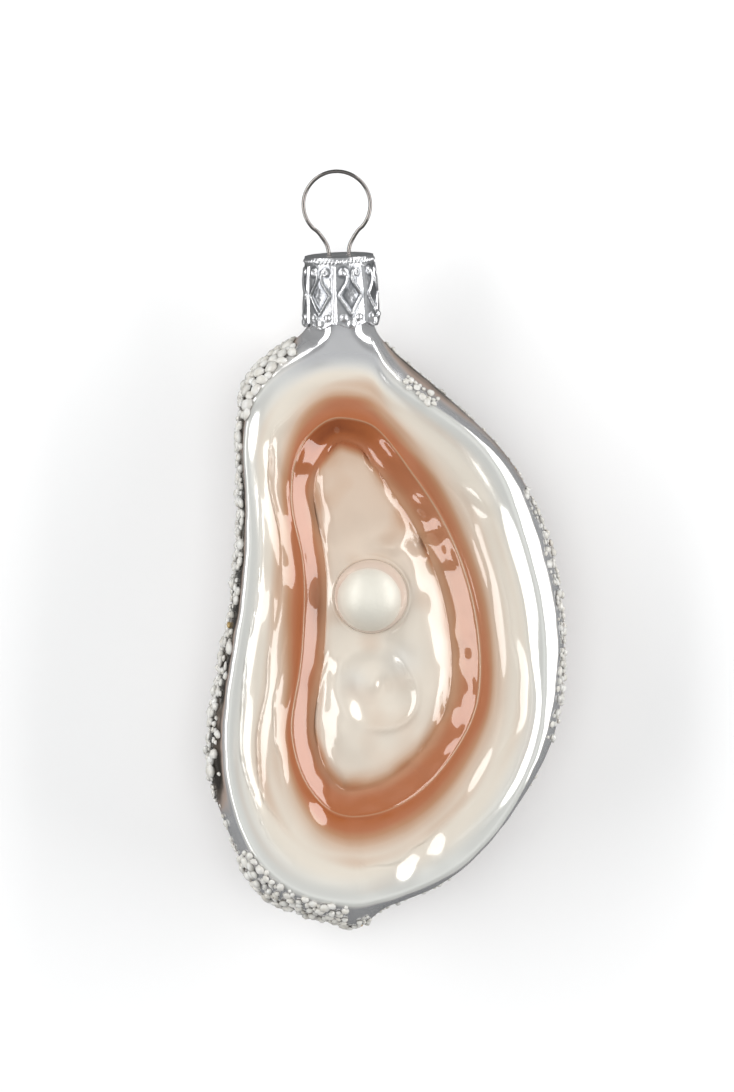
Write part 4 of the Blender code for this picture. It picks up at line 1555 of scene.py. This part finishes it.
    def dish_tones(self, u: float, s: float) -> Tones:
        """Finish of the dish: white at the lip, then cream with faint bands, and peach towards the crest,
        paled by a painted highlight along it.

        Args:
            u: the station.
            s: the share of the way across.

        Returns:
            Lacquer, peach, white, and earth with painted shade.
        """
        spray = self.spray_at(u)
        outside = (1 - s) * (self.crest_point(u) - self.lip_point(u)).xy.length
        peach = spray.outside * math.exp(-((outside / spray.outer_reach) ** 1.7))
        turn = self.turn(u)
        band = noise.noise(Vector((1.7 * math.cos(turn), 1.7 * math.sin(turn), 5.5 * s)))
        peach += 0.22 * max(0.0, band) * smooth(s / 0.15) + 0.11 * smooth((s - 0.3) / 0.4)
        bare = smooth(self.total(self.bare_neck, u)) * (1 - smooth(s / self.white_share))
        whiteness = max(0.9 * smooth((self.white_share - s) / 0.3), bare)
        return 1.0 - bare, peach * self.painted_crest_highlight(outside), whiteness, 0.0

    def hollow_tones(self, u: float, s: float) -> Tones:
        """Finish of the hollow's wall: deep peach that fades a little to the foot, paled by a painted
        highlight along the crest.

        Args:
            u: the station.
            s: the share of the way across.

        Returns:
            Lacquer, peach, white, and earth with painted shade.
        """
        spray = self.spray_at(u)
        peach = spray.outside + (spray.wall - spray.outside) * smooth(s / 0.12)
        peach *= 1 - self.foot_fade * smooth((s - 0.45) / 0.55)
        return 1.0, peach * self.painted_crest_highlight(s * self.wall_run(u)), 0.0, 0.0

    def cushion_tones(self, u: float, s: float, point: Vector) -> Tones:
        """Finish of the cushion: cream, with peach at its foot and towards the neck, and painted glints of
        cool white on the scar.

        Args:
            u: the station.
            s: the share of the way across.
            point: the vertex.

        Returns:
            Lacquer, peach, white with painted glints, and earth with painted shade.
        """
        spray = self.spray_at(u)
        inward = s * (self.crest_point(u) - self.pearl_centre).xy.length
        reach = 1.25 * spray.inner_reach
        peach = (1 - self.foot_fade) * spray.wall * math.exp(-((inward / reach) ** 1.4))
        peach = max(peach, 0.06 + 0.15 * smooth((point.y + 14.0) / 22.0) + 0.16 * math.exp(-inward / 4.0))
        peach += 0.16 * max(0.0, noise.noise(Vector((point.x, point.y, 20.0)) / 5.0))
        # Painted glints: cool white spots on the scar stand for reflections.
        away = ((math.hypot(point.x - x, point.y - y), size) for x, y, size in self.scar_painted_glints)
        painted_glints = sum(bell(distance, 0.0, size) for distance, size in away)
        return 1.0, peach, 0.5 * painted_glints, 0.0

    def painted_crest_highlight(self, away: float) -> float:
        """Share of the spray that the painted highlight, a thin pale line along the crest, leaves at a
        distance from it.
        """
        return 1 - self.crest_highlight_pale * bell(away, 0.0, self.crest_highlight_width)

    def ring_points(self, surface: Surface, s: float) -> list[tuple[float, Vector]]:
        """Station and point of one surface at a constant s, all the way round."""
        count = self.around * self.columns
        return [(k / self.columns, surface(k / self.columns, s)) for k in range(count)]

    def build(self, material: Material) -> Object:
        """Builds the shell as one closed skin of rings that start at the silhouette.

        Args:
            material: the shell's finish.

        Returns:
            The finished piece.
        """
        bm = bmesh.new()
        layers = [bm.verts.layers.float.new(name) for name in ("lacquer", "peach", "whiteness", "earth_and_shade")]
        count = self.around * self.columns
        half = self.neck_side * self.columns

        def paint(vertex: BMVert, zone: Zone, u: float, s: float, point: Vector) -> None:
            """Gives a vertex its finish."""
            for layer, value in zip(layers, self.tones(zone, u, s, point)):
                vertex[layer] = value

        def start_ring(side: int) -> Ring:
            """Makes one of the two rings on the silhouette.

            Args:
                side: 1 for the ring that carries the face, -1 for the back's.

            Returns:
                The ring.
            """
            ring = []
            for k in range(count):
                shared = side < 0 and half <= k <= count - half
                point = self.rim_point(k / self.columns, side)
                vertex = front[k] if shared else bm.verts.new(self.neck.world(point))
                paint(vertex, Zone.WALL, k / self.columns, 0.0, point)
                ring.append(vertex)
            for a, b in zip(ring, ring[1:] + ring[:1]):
                if bm.edges.get((a, b)) is None:
                    bm.edges.new((a, b))
            return ring

        def grow(ring: Ring, surface: Surface, zone: Zone, steps: Iterable[float]) -> Ring:
            """Extrudes a ring along a surface.

            Args:
                ring: the ring to start from.
                surface: the point at a station and a share.
                zone: the part of the skin that it is.
                steps: the share of each new ring.

            Returns:
                The last ring.
            """
            for s in steps:
                points = self.ring_points(surface, s)
                ring = extrude_ring(bm, ring, [self.neck.world(point) for _, point in points])
                for vertex, (u, point) in zip(ring, points):
                    paint(vertex, zone, u, s, point)
            return ring

        front: Ring = []
        front = start_ring(1)
        back = start_ring(-1)
        ring = grow(front, self.outer_wall, Zone.WALL, spread(18, gather=0.8))
        dish_steps = spread(44, last=0.88, gather=0.95) + [0.88 + 0.12 * k for k in spread(12, gather=0.8)]
        ring = grow(ring, self.dish_point, Zone.DISH, dish_steps)
        ring = grow(ring, self.wall_point, Zone.HOLLOW, spread(30, gather=1.25))
        cushion_steps = spread(40, last=0.9) + [0.9 + 0.1 * k for k in spread(9)]
        ring = grow(ring, self.cushion_point, Zone.CUSHION, cushion_steps)
        ring = grow(ring, self.socket_point, Zone.SEAT, spread(5, last=0.9))
        bmesh.ops.contextual_create(bm, geom=ring)
        ring = grow(back, self.back_point, Zone.BACK, spread(46, gather=0.95))
        bmesh.ops.contextual_create(bm, geom=ring)
        self.build_neck(bm, front, back, layers)
        return make_piece("blown_shell", bm, material, sharp=60.0)

    def build_neck(self, bm: BMesh, front: Ring, back: Ring, layers: list[BMLayerItem]) -> None:
        """Draws the neck's root circle up into a tube with a bore, which the cap hides.

        Args:
            bm: the shell's mesh.
            front: the ring of the silhouette that carries the face.
            back: the ring of the silhouette that carries the back.
            layers: the layers of the finish.
        """
        half = self.neck_side * self.columns
        over = front[-half:] + front[: half + 1]
        under = back[-half + 1 :] + back[:half]
        ring = over + under[::-1]
        angles = [math.pi * (1 - k / (2 * half)) for k in range(2 * half + 1)]
        angles += [-math.pi * k / (2 * half) for k in range(1, 2 * half)]
        neck = self.neck
        for along, radius in (
            (0.2 * neck.length, neck.radius + 0.2 * (neck.top_radius - neck.radius)),
            (0.97 * neck.length, neck.top_radius),
            (neck.length, neck.top_radius - 0.2),
            (neck.length, neck.bore_radius + 0.2),
            (0.97 * neck.length, neck.bore_radius),
            (neck.length - neck.bore_depth, neck.bore_radius),
        ):
            ring = extrude_ring(bm, ring, [neck.world(neck.point(a, radius, along)) for a in angles])
            for vertex in ring:
                for layer, value in zip(layers, (0.0, 0.0, 1.0, 0.0)):
                    vertex[layer] = value
        bmesh.ops.contextual_create(bm, geom=ring)


# The granules round the rim


@dataclass(frozen=True)
class Band:
    """A band of granules: its stations, its shares of the way up, their number and their radius."""

    first: float
    last: float
    low: float
    high: float
    count: int
    large: float
    small: float
    crowding: float = 0.8


@dataclass(frozen=True)
class Place:
    """Where one granule sits: a point on the skin, the direction out of it, and the granule's radius."""

    point: Vector
    outward: Vector
    radius: float


@dataclass
class Granules:
    """Crushed glass glued round the rim, in bands as thick and as coarse as the photograph shows."""

    shell: Shell
    seed: int = 11
    bands: tuple[Band, ...] = (
        Band(21.6, 23.35, -0.06, 0.66, 80, 1.05, 0.55, 0.70),
        Band(16.9, 21.7, -0.16, 0.46, 190, 0.98, 0.40, 0.74),
        Band(13.2, 15.7, -0.05, 0.62, 130, 0.85, 0.34, 0.74),
        Band(12.5, 13.4, 0.00, 0.36, 16, 0.55, 0.24),
        Band(15.6, 16.9, -0.10, 0.30, 24, 0.60, 0.24),
        Band(5.4, 8.9, -0.05, 0.50, 120, 0.75, 0.24, 0.80),
        Band(2.6, 3.4, 0.40, 0.66, 16, 0.66, 0.30),
        Band(1.8, 5.4, -0.16, 0.04, 60, 0.48, 0.18),
        Band(9.2, 12.3, -0.16, 0.08, 56, 0.58, 0.22),
        Band(12.2, 13.2, -0.12, 0.10, 10, 0.32, 0.16),
    )
    amber_every: int = 190

    def places(self) -> list[Place]:
        """Finds room for every granule, the largest of a band first."""
        draw = random.Random(self.seed)
        placed: list[Place] = []
        for band in self.bands:
            for k in range(band.count):
                radius = band.large + (band.small - band.large) * (k / band.count) ** 0.8
                for _ in range(30):
                    u = draw.uniform(band.first, band.last)
                    point, outward = self.shell.skin(u, draw.uniform(band.low, band.high))
                    gaps = ((point - p.point).length - band.crowding * (radius + p.radius) for p in placed)
                    if all(gap > 0 for gap in gaps):
                        placed.append(Place(point, outward, radius))
                        break
        return placed

    def pattern(self) -> Mesh:
        """Makes the ball that every granule starts from: a cube cut once each way and pushed out."""
        bm = bmesh.new()
        bmesh.ops.create_cube(bm, size=1.0)
        bmesh.ops.subdivide_edges(bm, edges=bm.edges[:], cuts=1, use_grid_fill=True)
        for vertex in bm.verts:
            vertex.co = vertex.co.normalized()
        return take_mesh("granule_pattern", bm)

    def add_granule(self, bm: BMesh, pattern: Mesh, place: Place, draw: random.Random) -> None:
        """Adds one lumpy granule, a stretched and dented copy of the pattern, partly sunk in the skin.

        Args:
            bm: the mesh that gets the granule.
            pattern: the ball to start from.
            place: where the granule sits.
            draw: the source of its shape.
        """
        first = len(bm.verts)
        bm.from_mesh(pattern)
        bm.verts.ensure_lookup_table()
        tone_and_shade = bm.verts.layers.float["tone_and_shade"]
        own_tone = draw.uniform(0.45, 1.0)
        stretch = Vector((draw.uniform(0.85, 1.35), draw.uniform(0.75, 1.1), draw.uniform(0.55, 0.85)))
        dents = Vector((draw.uniform(0, 90), draw.uniform(0, 90), draw.uniform(0, 90)))
        spin = Matrix.Rotation(draw.uniform(0, 6.3), 3, "Z")
        turn = place.outward.to_track_quat("Z", "Y").to_matrix() @ spin
        middle = place.point + place.outward * (place.radius * draw.uniform(0.15, 0.5))
        for vertex in bm.verts[first:]:
            lump = 1.0 + 0.30 * noise.noise(vertex.co * 1.6 + dents)
            shape = Vector(a * b for a, b in zip(vertex.co, stretch))
            # Painted shade: the lower, sunk part of each granule is darkened, over its own random tone.
            vertex[tone_and_shade] = own_tone * smooth((shape.z + 0.55) / 0.8)
            vertex.co = self.shell.neck.world(middle + turn @ (shape * (place.radius * lump)))

    def build(self, clear: Material, amber: Material) -> list[Object]:
        """Builds the granules as one piece of clear ones and one of the few amber ones.

        Args:
            clear: finish of the clear granules.
            amber: finish of the amber ones.

        Returns:
            The two finished pieces.
        """
        draw = random.Random(self.seed + 1)
        pattern = self.pattern()
        piles = (bmesh.new(), bmesh.new())
        for pile in piles:
            pile.verts.layers.float.new("tone_and_shade")
        for number, place in enumerate(self.places()):
            pile = piles[1] if number % self.amber_every == self.amber_every - 1 else piles[0]
            self.add_granule(pile, pattern, place, draw)
        return [
            make_piece("clear_granules", piles[0], clear, sharp=75.0),
            make_piece("amber_granules", piles[1], amber, sharp=75.0),
        ]


# The pearl


@dataclass
class Pearl:
    """The painted ball in the middle, sized and placed by its solid in the frame."""

    centre: Vector
    radius: float
    paint_from: Vector = field(default_factory=lambda: Vector((-0.10, -0.13, 1.0)))
    paint_edge: float = 0.50

    def build(self, material: Material) -> Object:
        """Builds the ball with the mask of its brushed paint.

        Args:
            material: the piece's finish.

        Returns:
            The finished piece.
        """
        bm = bmesh.new()
        bmesh.ops.create_uvsphere(bm, u_segments=96, v_segments=48, radius=self.radius)
        paint = bm.verts.layers.float.new("paint")
        facing = self.paint_from.normalized()
        for vertex in bm.verts:
            unit = vertex.co.normalized()
            ragged = 0.02 * noise.noise(unit * 7.0)
            vertex[paint] = smooth((unit.dot(facing) - self.paint_edge + ragged) / 0.10 + 0.5)
        bmesh.ops.translate(bm, vec=self.centre, verts=bm.verts)
        return make_piece("painted_pearl", bm, material)


# The pressed cap


@dataclass
class PressedCap:
    """Sheet-metal cap: seven embossed panels, a beaded, scalloped foot, a roped edge and two wire holes."""

    neck: Neck
    below_root: float = 0.25
    height: float = 10.4
    foot_radius: float = 5.95
    waist_radius: float = 5.85
    top_radius: float = 5.45
    sheet: float = 0.35
    panels: int = 7
    panel_columns: int = 44
    rows: int = 92
    scallop: float = 0.8
    turn: float = math.radians(55.2)
    rope_height: float = 9.75
    ropes: int = 56
    lozenge_middle: float = 4.5
    lozenge_half_width: float = 1.85
    lozenge_half_height: float = 3.0
    lozenge_depth: float = 0.16
    line_height: float = 0.26
    line_width: float = 0.17
    rib_height: float = 0.22
    rib_inset: float = 0.12
    rib_width: float = 0.14
    beads: tuple[tuple[float, float, float], ...] = ((0.0, 0.0, 0.72), (1.28, 0.95, 0.56))
    bead_height: float = 0.42
    rope_relief: float = 0.26
    rope_width: float = 0.27
    hem_height: float = 0.12
    volute: tuple[float, float] = (1.12, 8.05)
    volute_radius: float = 0.62
    wire_offset: float = 1.6
    wire_hole: float = 0.65
    lid_round: float = 0.25
    lid_rise: float = 0.05
    inner_waist: float = 4.0

    @property
    def panel_width(self) -> float:
        """Width of one panel round the waist."""
        return 2 * math.pi * self.waist_radius / self.panels

    def plain_radius(self, height: float) -> float:
        """Outer radius of the plain cap at a height above its foot.

        Args:
            height: height above the foot.

        Returns:
            The radius.
        """
        share = max(0.0, height) / self.height
        if share < 0.5:
            return self.foot_radius + (self.waist_radius - self.foot_radius) * smooth(share / 0.5)
        return self.waist_radius + (self.top_radius - self.waist_radius) * smooth((share - 0.5) / 0.5)

    def foot_drop(self, across: float) -> float:
        """Height of the scalloped foot; across runs from -0.5 to 0.5 over a panel."""
        return -self.scallop * math.cos(math.pi * across) ** 2

    def scroll_line(self) -> list[tuple[float, float]]:
        """Half of a panel's raised line: up one side of the lozenge, on into the arm and round the volute."""
        line = [
            (0.0, self.lozenge_middle - self.lozenge_half_height),
            (self.lozenge_half_width, self.lozenge_middle),
            (0.62, 6.35),
            (0.42, 6.95),
            (0.40, 7.6),
        ]
        for k in range(15):
            angle = math.radians(205 - 32 * k)
            radius = self.volute_radius * (1 - 0.045 * k)
            x, height = self.volute
            line.append((x + radius * math.cos(angle), height + radius * math.sin(angle)))
        return line

    def relief(self, across: float, height: float) -> tuple[float, float]:
        """Pressed relief at one place.

        Args:
            across: place over the panel, from -0.5 to 0.5.
            height: height above the foot.

        Returns:
            The relief, and the painted shade of the place, from 0 to 1: in the sunk lozenge, beside the
            raised lines and on the unraised field.
        """
        x = abs(across) * self.panel_width
        edge = 0.5 * self.panel_width - x
        near = min(segment_distance((x, height), a, b) for a, b in zip(self.line, self.line[1:]))
        raised = self.line_height * bell(near, 0.0, self.line_width)
        if height < self.rope_height - 0.6:
            raised = max(raised, self.rib_height * bell(edge, self.rib_inset, self.rib_width))
        rise = abs(height - self.lozenge_middle)
        inside = 1 - x / self.lozenge_half_width - rise / self.lozenge_half_height
        sunk = smooth(inside / 0.18)
        for bead_x, middle, radius in self.beads:
            away = math.hypot(x - bead_x, height - middle) / radius
            if away < 1:
                raised = max(raised, self.bead_height * math.sqrt(1 - away**2))
        rope = self.rope_height - height
        twist = 0.6 + 0.4 * math.cos(2 * math.pi * (across * self.ropes / self.panels) + 5.0 * rope)
        raised = max(raised, self.rope_relief * bell(rope, 0.0, self.rope_width) * twist)
        hem = self.foot_drop(across) + self.hem_height
        raised = max(raised, self.hem_height * bell(height, hem, 0.14))
        # Painted shade: darker in the sunk lozenge, in a thin line beside each raised line and on the
        # unraised field.
        shade = 0.35 * sunk + 0.55 * bell(near, 0.42, 0.2) + 0.3 * bell(raised, 0.0, 0.05)
        return raised - self.lozenge_depth * sunk, min(1.0, shade)

    def build(self, material: Material) -> Object:
        """Builds the cap from a circle drawn up in rows, closed over its top and turned back down inside.

        Args:
            material: the piece's finish.

        Returns:
            The finished piece.
        """
        self.line = self.scroll_line()
        count = self.panels * self.panel_columns
        bm = bmesh.new()
        shade = bm.verts.layers.float.new("hollow")
        ring = list(bmesh.ops.create_circle(bm, segments=count, radius=self.foot_radius)["verts"])
        across = [(k / self.panel_columns) % 1 - 0.5 for k in range(count)]
        angles = [2 * math.pi * k / count for k in range(count)]
        pressed = [self.pressed_column(across[k]) for k in range(self.panel_columns)]

        def place(angle: float, radius: float, height: float) -> Vector:
            """Point at an angle, a radius and a height of the cap's frame."""
            return Vector((radius * math.cos(angle), radius * math.sin(angle), height))

        for row in range(self.rows + 1):
            points = []
            shades = []
            for k, angle in enumerate(angles):
                height, radius, dark = pressed[k % self.panel_columns][row]
                points.append(place(angle, radius, height))
                shades.append(dark)
            if row:
                ring = extrude_ring(bm, ring, points)
            else:
                foot = ring
                for vertex, point in zip(ring, points):
                    vertex.co = point
            for vertex, dark in zip(ring, shades):
                vertex[shade] = dark
        for radius, height in self.lid_rings():
            ring = extrude_ring(bm, ring, [place(a, radius, height) for a in angles])
        bmesh.ops.contextual_create(bm, geom=ring)
        inside = self.waist_radius - self.sheet
        inner = [(vertex.co.xy.normalized() * inside).to_3d() + UP * vertex.co.z for vertex in foot]
        ring = extrude_ring(bm, foot, inner)
        for radius, height in self.inner_rings():
            ring = extrude_ring(bm, ring, [place(a, radius, height) for a in angles])
        bmesh.ops.contextual_create(bm, geom=ring)
        stand = self.neck.cap_placement(self.below_root)
        turned = Matrix.Rotation(self.turn, 4, "Z")
        bmesh.ops.transform(bm, matrix=stand @ turned @ Matrix.Scale(MM, 4), verts=bm.verts)
        cap = make_piece("pressed_cap", bm, material, sharp=60.0)
        for side in (-1, 1):
            self.cut_hole(cap, stand, side)
        return cap

    def lid_rings(self) -> tuple[tuple[float, float], ...]:
        """Radius and height of the rings that close the cap's slightly dished top."""
        edge = self.top_radius - self.lid_round
        return (edge, self.height + self.lid_rise), (4.7, self.height), (3.0, self.height + self.lid_rise)

    def inner_rings(self) -> tuple[tuple[float, float], ...]:
        """Radius and height of the rings of the cap's inside, from its waist to under its top."""
        top = self.height - self.sheet
        return (self.waist_radius - self.sheet, self.inner_waist), (self.top_radius - self.sheet, top)

    def pressed_column(self, across: float) -> list[tuple[float, float, float]]:
        """Height, radius and shade of every row at one place over a panel.

        Args:
            across: place over the panel, from -0.5 to 0.5.

        Returns:
            Height, radius and shade of each row.
        """
        column = []
        low = self.foot_drop(across)
        for row in range(self.rows + 1):
            height = low + (self.height - low) * row / self.rows
            relief, dark = self.relief(across, height)
            column.append((height, self.plain_radius(height) + relief, dark))
        return column

    def cut_hole(self, cap: Object, stand: Matrix, side: int) -> None:
        """Cuts one hole through the cap's top, where a leg of the wire goes in.

        Args:
            cap: the cap.
            stand: the placement of its frame.
            side: -1 for the left hole, 1 for the right.
        """
        bm = bmesh.new()
        radius = self.wire_hole * MM
        bmesh.ops.create_cone(bm, cap_ends=True, segments=24, radius1=radius, radius2=radius, depth=3 * MM)
        place = Matrix.Translation(Vector((side * self.wire_offset, 0.0, self.height)) * MM)
        bmesh.ops.transform(bm, matrix=stand @ place, verts=bm.verts)
        drill = add_object("drill", take_mesh("drill", bm))
        hole = cap.modifiers.new("wire hole", "BOOLEAN")
        hole.operation = "DIFFERENCE"
        hole.object = drill
        hole.solver = "EXACT"
        bpy.context.view_layer.objects.active = cap
        bpy.ops.object.modifier_apply(modifier=hole.name)
        bpy.data.objects.remove(drill)


def segment_distance(point: tuple[float, float], a: tuple[float, float], b: tuple[float, float]) -> float:
    """Distance from a point of the plane to the segment from a to b.

    Args:
        point: the point.
        a: one end of the segment.
        b: its other end.

    Returns:
        The distance.
    """
    run = (b[0] - a[0], b[1] - a[1])
    away = (point[0] - a[0], point[1] - a[1])
    share = (run[0] * away[0] + run[1] * away[1]) / (run[0] ** 2 + run[1] ** 2)
    share = min(1.0, max(0.0, share))
    return math.hypot(away[0] - share * run[0], away[1] - share * run[1])


# The wire loop


@dataclass
class WireLoop:
    """Round loop of bright wire whose two legs go down through the cap's top into the neck."""

    cap: PressedCap
    wire: float = 0.3
    radius: float = 5.3
    top: float = 13.3
    leg_spread: float = 1.6
    leg_depth: float = 5.5
    sides: int = 20

    def route(self) -> list[Vector]:
        """Centre line in the cap's frame, from the end of one leg to the end of the other."""
        lid = self.cap.height
        centre = lid + self.top - self.radius
        leg = [
            (self.leg_spread + 0.9, lid - self.leg_depth),
            (self.leg_spread + 0.5, lid - 0.6 * self.leg_depth),
            (self.leg_spread + 0.1, lid - 0.2 * self.leg_depth),
            (self.leg_spread, lid),
            (self.leg_spread + 0.05, lid + 0.9),
            (self.leg_spread + 0.4, lid + 2.0),
        ]
        arc = [math.radians(a) for a in range(-54, 235, 12)]
        ring = [(self.radius * math.cos(a), centre + self.radius * math.sin(a)) for a in arc]
        mirrored = [(-x, z) for x, z in reversed(leg)]
        return [Vector((x, 0.0, z)) for x, z in leg + ring + mirrored]

    def smooth_route(self) -> list[Vector]:
        """The route with points added along a smooth curve between its own."""
        points = self.route()
        padded = [2 * points[0] - points[1]] + points + [2 * points[-1] - points[-2]]
        fine = []
        for i in range(1, len(padded) - 2):
            p0, p1, p2, p3 = padded[i - 1 : i + 3]
            for k in range(6):
                t = k / 6
                bend = 2 * p0 - 5 * p1 + 4 * p2 - p3
                twist = 3 * p1 - p0 - 3 * p2 + p3
                fine.append(0.5 * (2 * p1 + (p2 - p0) * t + bend * t**2 + twist * t**3))
        return fine + [points[-1]]

    def build(self, material: Material) -> Object:
        """Builds the wire by drawing a circle along its route.

        Args:
            material: the piece's finish.

        Returns:
            The finished piece.
        """
        route = self.smooth_route()
        bm = bmesh.new()
        start = bmesh.ops.create_circle(bm, cap_ends=True, segments=self.sides, radius=self.wire)
        ring = list(start["verts"])
        angles = [2 * math.pi * k / self.sides for k in range(self.sides)]
        across = Vector((0.0, 1.0, 0.0))
        for number, point in enumerate(route):
            ahead = (route[min(number + 1, len(route) - 1)] - route[max(number - 1, 0)]).normalized()
            side = Vector((ahead.z, 0.0, -ahead.x))
            places = [point + self.wire * (side * math.cos(a) + across * math.sin(a)) for a in angles]
            if number:
                ring = extrude_ring(bm, ring, places)
            else:
                for vertex, place in zip(ring, places):
                    vertex.co = place
        bmesh.ops.contextual_create(bm, geom=ring)
        stand = self.cap.neck.cap_placement(self.cap.below_root)
        bmesh.ops.transform(bm, matrix=stand @ Matrix.Scale(MM, 4), verts=bm.verts)
        return make_piece("wire_loop", bm, material)


# The studio


@dataclass(frozen=True)
class Softbox:
    """One rectangular light, with its angle from the view axis towards +X and its shift ahead along Y."""

    name: str
    angle: float
    distance: float
    width: float
    length: float
    power: float
    ahead: float = 0.0


@dataclass
class Studio:
    """White paper, two long softboxes, a fill and a pale tent, seen from almost straight above."""

    target: Vector = field(default_factory=lambda: Vector((-2.92, 0.65, 14.0)) * MM)
    distance: float = 0.6552
    tilt: float = math.radians(3.0)
    lens: float = 135.0
    softboxes: tuple[Softbox, ...] = (
        Softbox("softbox_left", -53.0, 0.60, 0.22, 1.10, 3.52, 0.27),
        Softbox("softbox_right", 62.0, 0.60, 0.22, 1.10, 3.85, 0.27),
    )
    fill: Softbox = Softbox("fill", 0.0, 0.90, 0.60, 0.60, 2.35)
    tent: float = 0.44
    horizon: float = 0.16

    def build(self) -> None:
        """Builds floor, lights, world and camera."""
        self.lay_floor()
        for softbox in self.softboxes:
            self.hang(softbox)
        self.hang(self.fill).visible_glossy = False
        self.light_world()
        self.aim_camera()
        bpy.context.scene.view_settings.view_transform = "Standard"

    def lay_floor(self) -> None:
        """Lays the sheet of paper that the ornament rests on."""
        bm = bmesh.new()
        bmesh.ops.create_grid(bm, x_segments=1, y_segments=1, size=1.5)
        bmesh.ops.translate(bm, vec=Vector((0.0, 0.0, -0.0001)), verts=bm.verts)
        mesh = take_mesh("paper", bm)
        mesh.materials.append(FloorFinish().material())
        paper = add_object("paper", mesh)
        paper.visible_glossy = False

    def hang(self, softbox: Softbox) -> Object:
        """Hangs one softbox, facing the ornament, and returns it.

        Args:
            softbox: the light to hang.

        Returns:
            Its object.
        """
        angle = math.radians(softbox.angle)
        light = bpy.data.lights.new(softbox.name, "AREA")
        light.shape = "RECTANGLE"
        light.size = softbox.width
        light.size_y = softbox.length
        light.energy = softbox.power
        lamp = add_object(softbox.name, light)
        lamp.location = Vector((math.sin(angle), 0.0, math.cos(angle))) * softbox.distance
        lamp.location.y = softbox.ahead
        lamp.rotation_euler = (0.0, angle, 0.0)
        return lamp

    def light_world(self) -> None:
        """Makes the pale tent: bright overhead and dimmer towards the horizon."""
        world = bpy.data.worlds.new("tent")
        bpy.context.scene.world = world
        world.use_nodes = True
        nodes = Nodes(world.node_tree)
        background = world.node_tree.nodes["Background"]
        direction = nodes.add("ShaderNodeTexCoord").outputs["Generated"]
        height = nodes.fed(nodes.add("ShaderNodeSeparateXYZ"), {0: direction}, "Z")
        strength = nodes.remap(height, 0.70, 0.96, self.horizon, self.tent)
        nodes.feed(background, {"Strength": strength, "Color": (0.97, 0.99, 1.0, 1.0)})

    def aim_camera(self) -> None:
        """Sets the camera over the ornament, as far off as the photograph's was."""
        camera = bpy.data.cameras.new("camera")
        camera.lens = self.lens
        camera.clip_start = 0.05
        view = add_object("camera", camera)
        back = Vector((0.0, math.sin(self.tilt), math.cos(self.tilt)))
        view.location = self.target + back * self.distance
        view.rotation_euler = (-self.tilt, 0.0, 0.0)
        bpy.context.scene.camera = view


def main() -> None:
    """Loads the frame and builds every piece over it."""
    logging.basicConfig(level=logging.INFO, format="%(message)s")
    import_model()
    low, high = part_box("pearl")
    neck = Neck()
    centre = (low + high) / 2
    radius = (high.z - low.z) / 2
    shell = Shell(neck, centre / MM - neck.centring, radius / MM, columns=16)
    mottle = mottle_group()

    blown = shell.build(ShellFinish().material(mottle))
    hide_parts("glass_oyster")

    amber = GranuleFinish(colour=(0.66, 0.46, 0.18), stain=(0.50, 0.34, 0.14))
    granules = Granules(shell).build(
        GranuleFinish().material("crushed_glass", mottle), amber.material("amber_glass", mottle)
    )

    pearl = Pearl(centre, radius).build(PearlFinish().material(mottle))
    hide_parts("pearl")

    # The tin's dark colour is tarnish in patches and also painted shade in the cap's hollows.
    tin = MetalFinish("pressed_tin", (0.98, 0.98, 0.99), (0.34, 0.35, 0.37), 0.34, wrinkle=0.6)
    cap = PressedCap(neck)
    pressed = cap.build(tin.material(mottle, with_hollow_shade=True))
    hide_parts("cap")

    steel = MetalFinish("drawn_wire", (0.42, 0.39, 0.37), (0.20, 0.18, 0.17), 0.10)
    loop = WireLoop(cap).build(steel.material(mottle))
    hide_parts("hanger")

    for piece in (blown, *granules, pearl, pressed, loop):
        LOG.info("%s: %d faces", piece.name, len(piece.data.polygons))
    Studio().build()


if __name__ == "__main__":
    main()
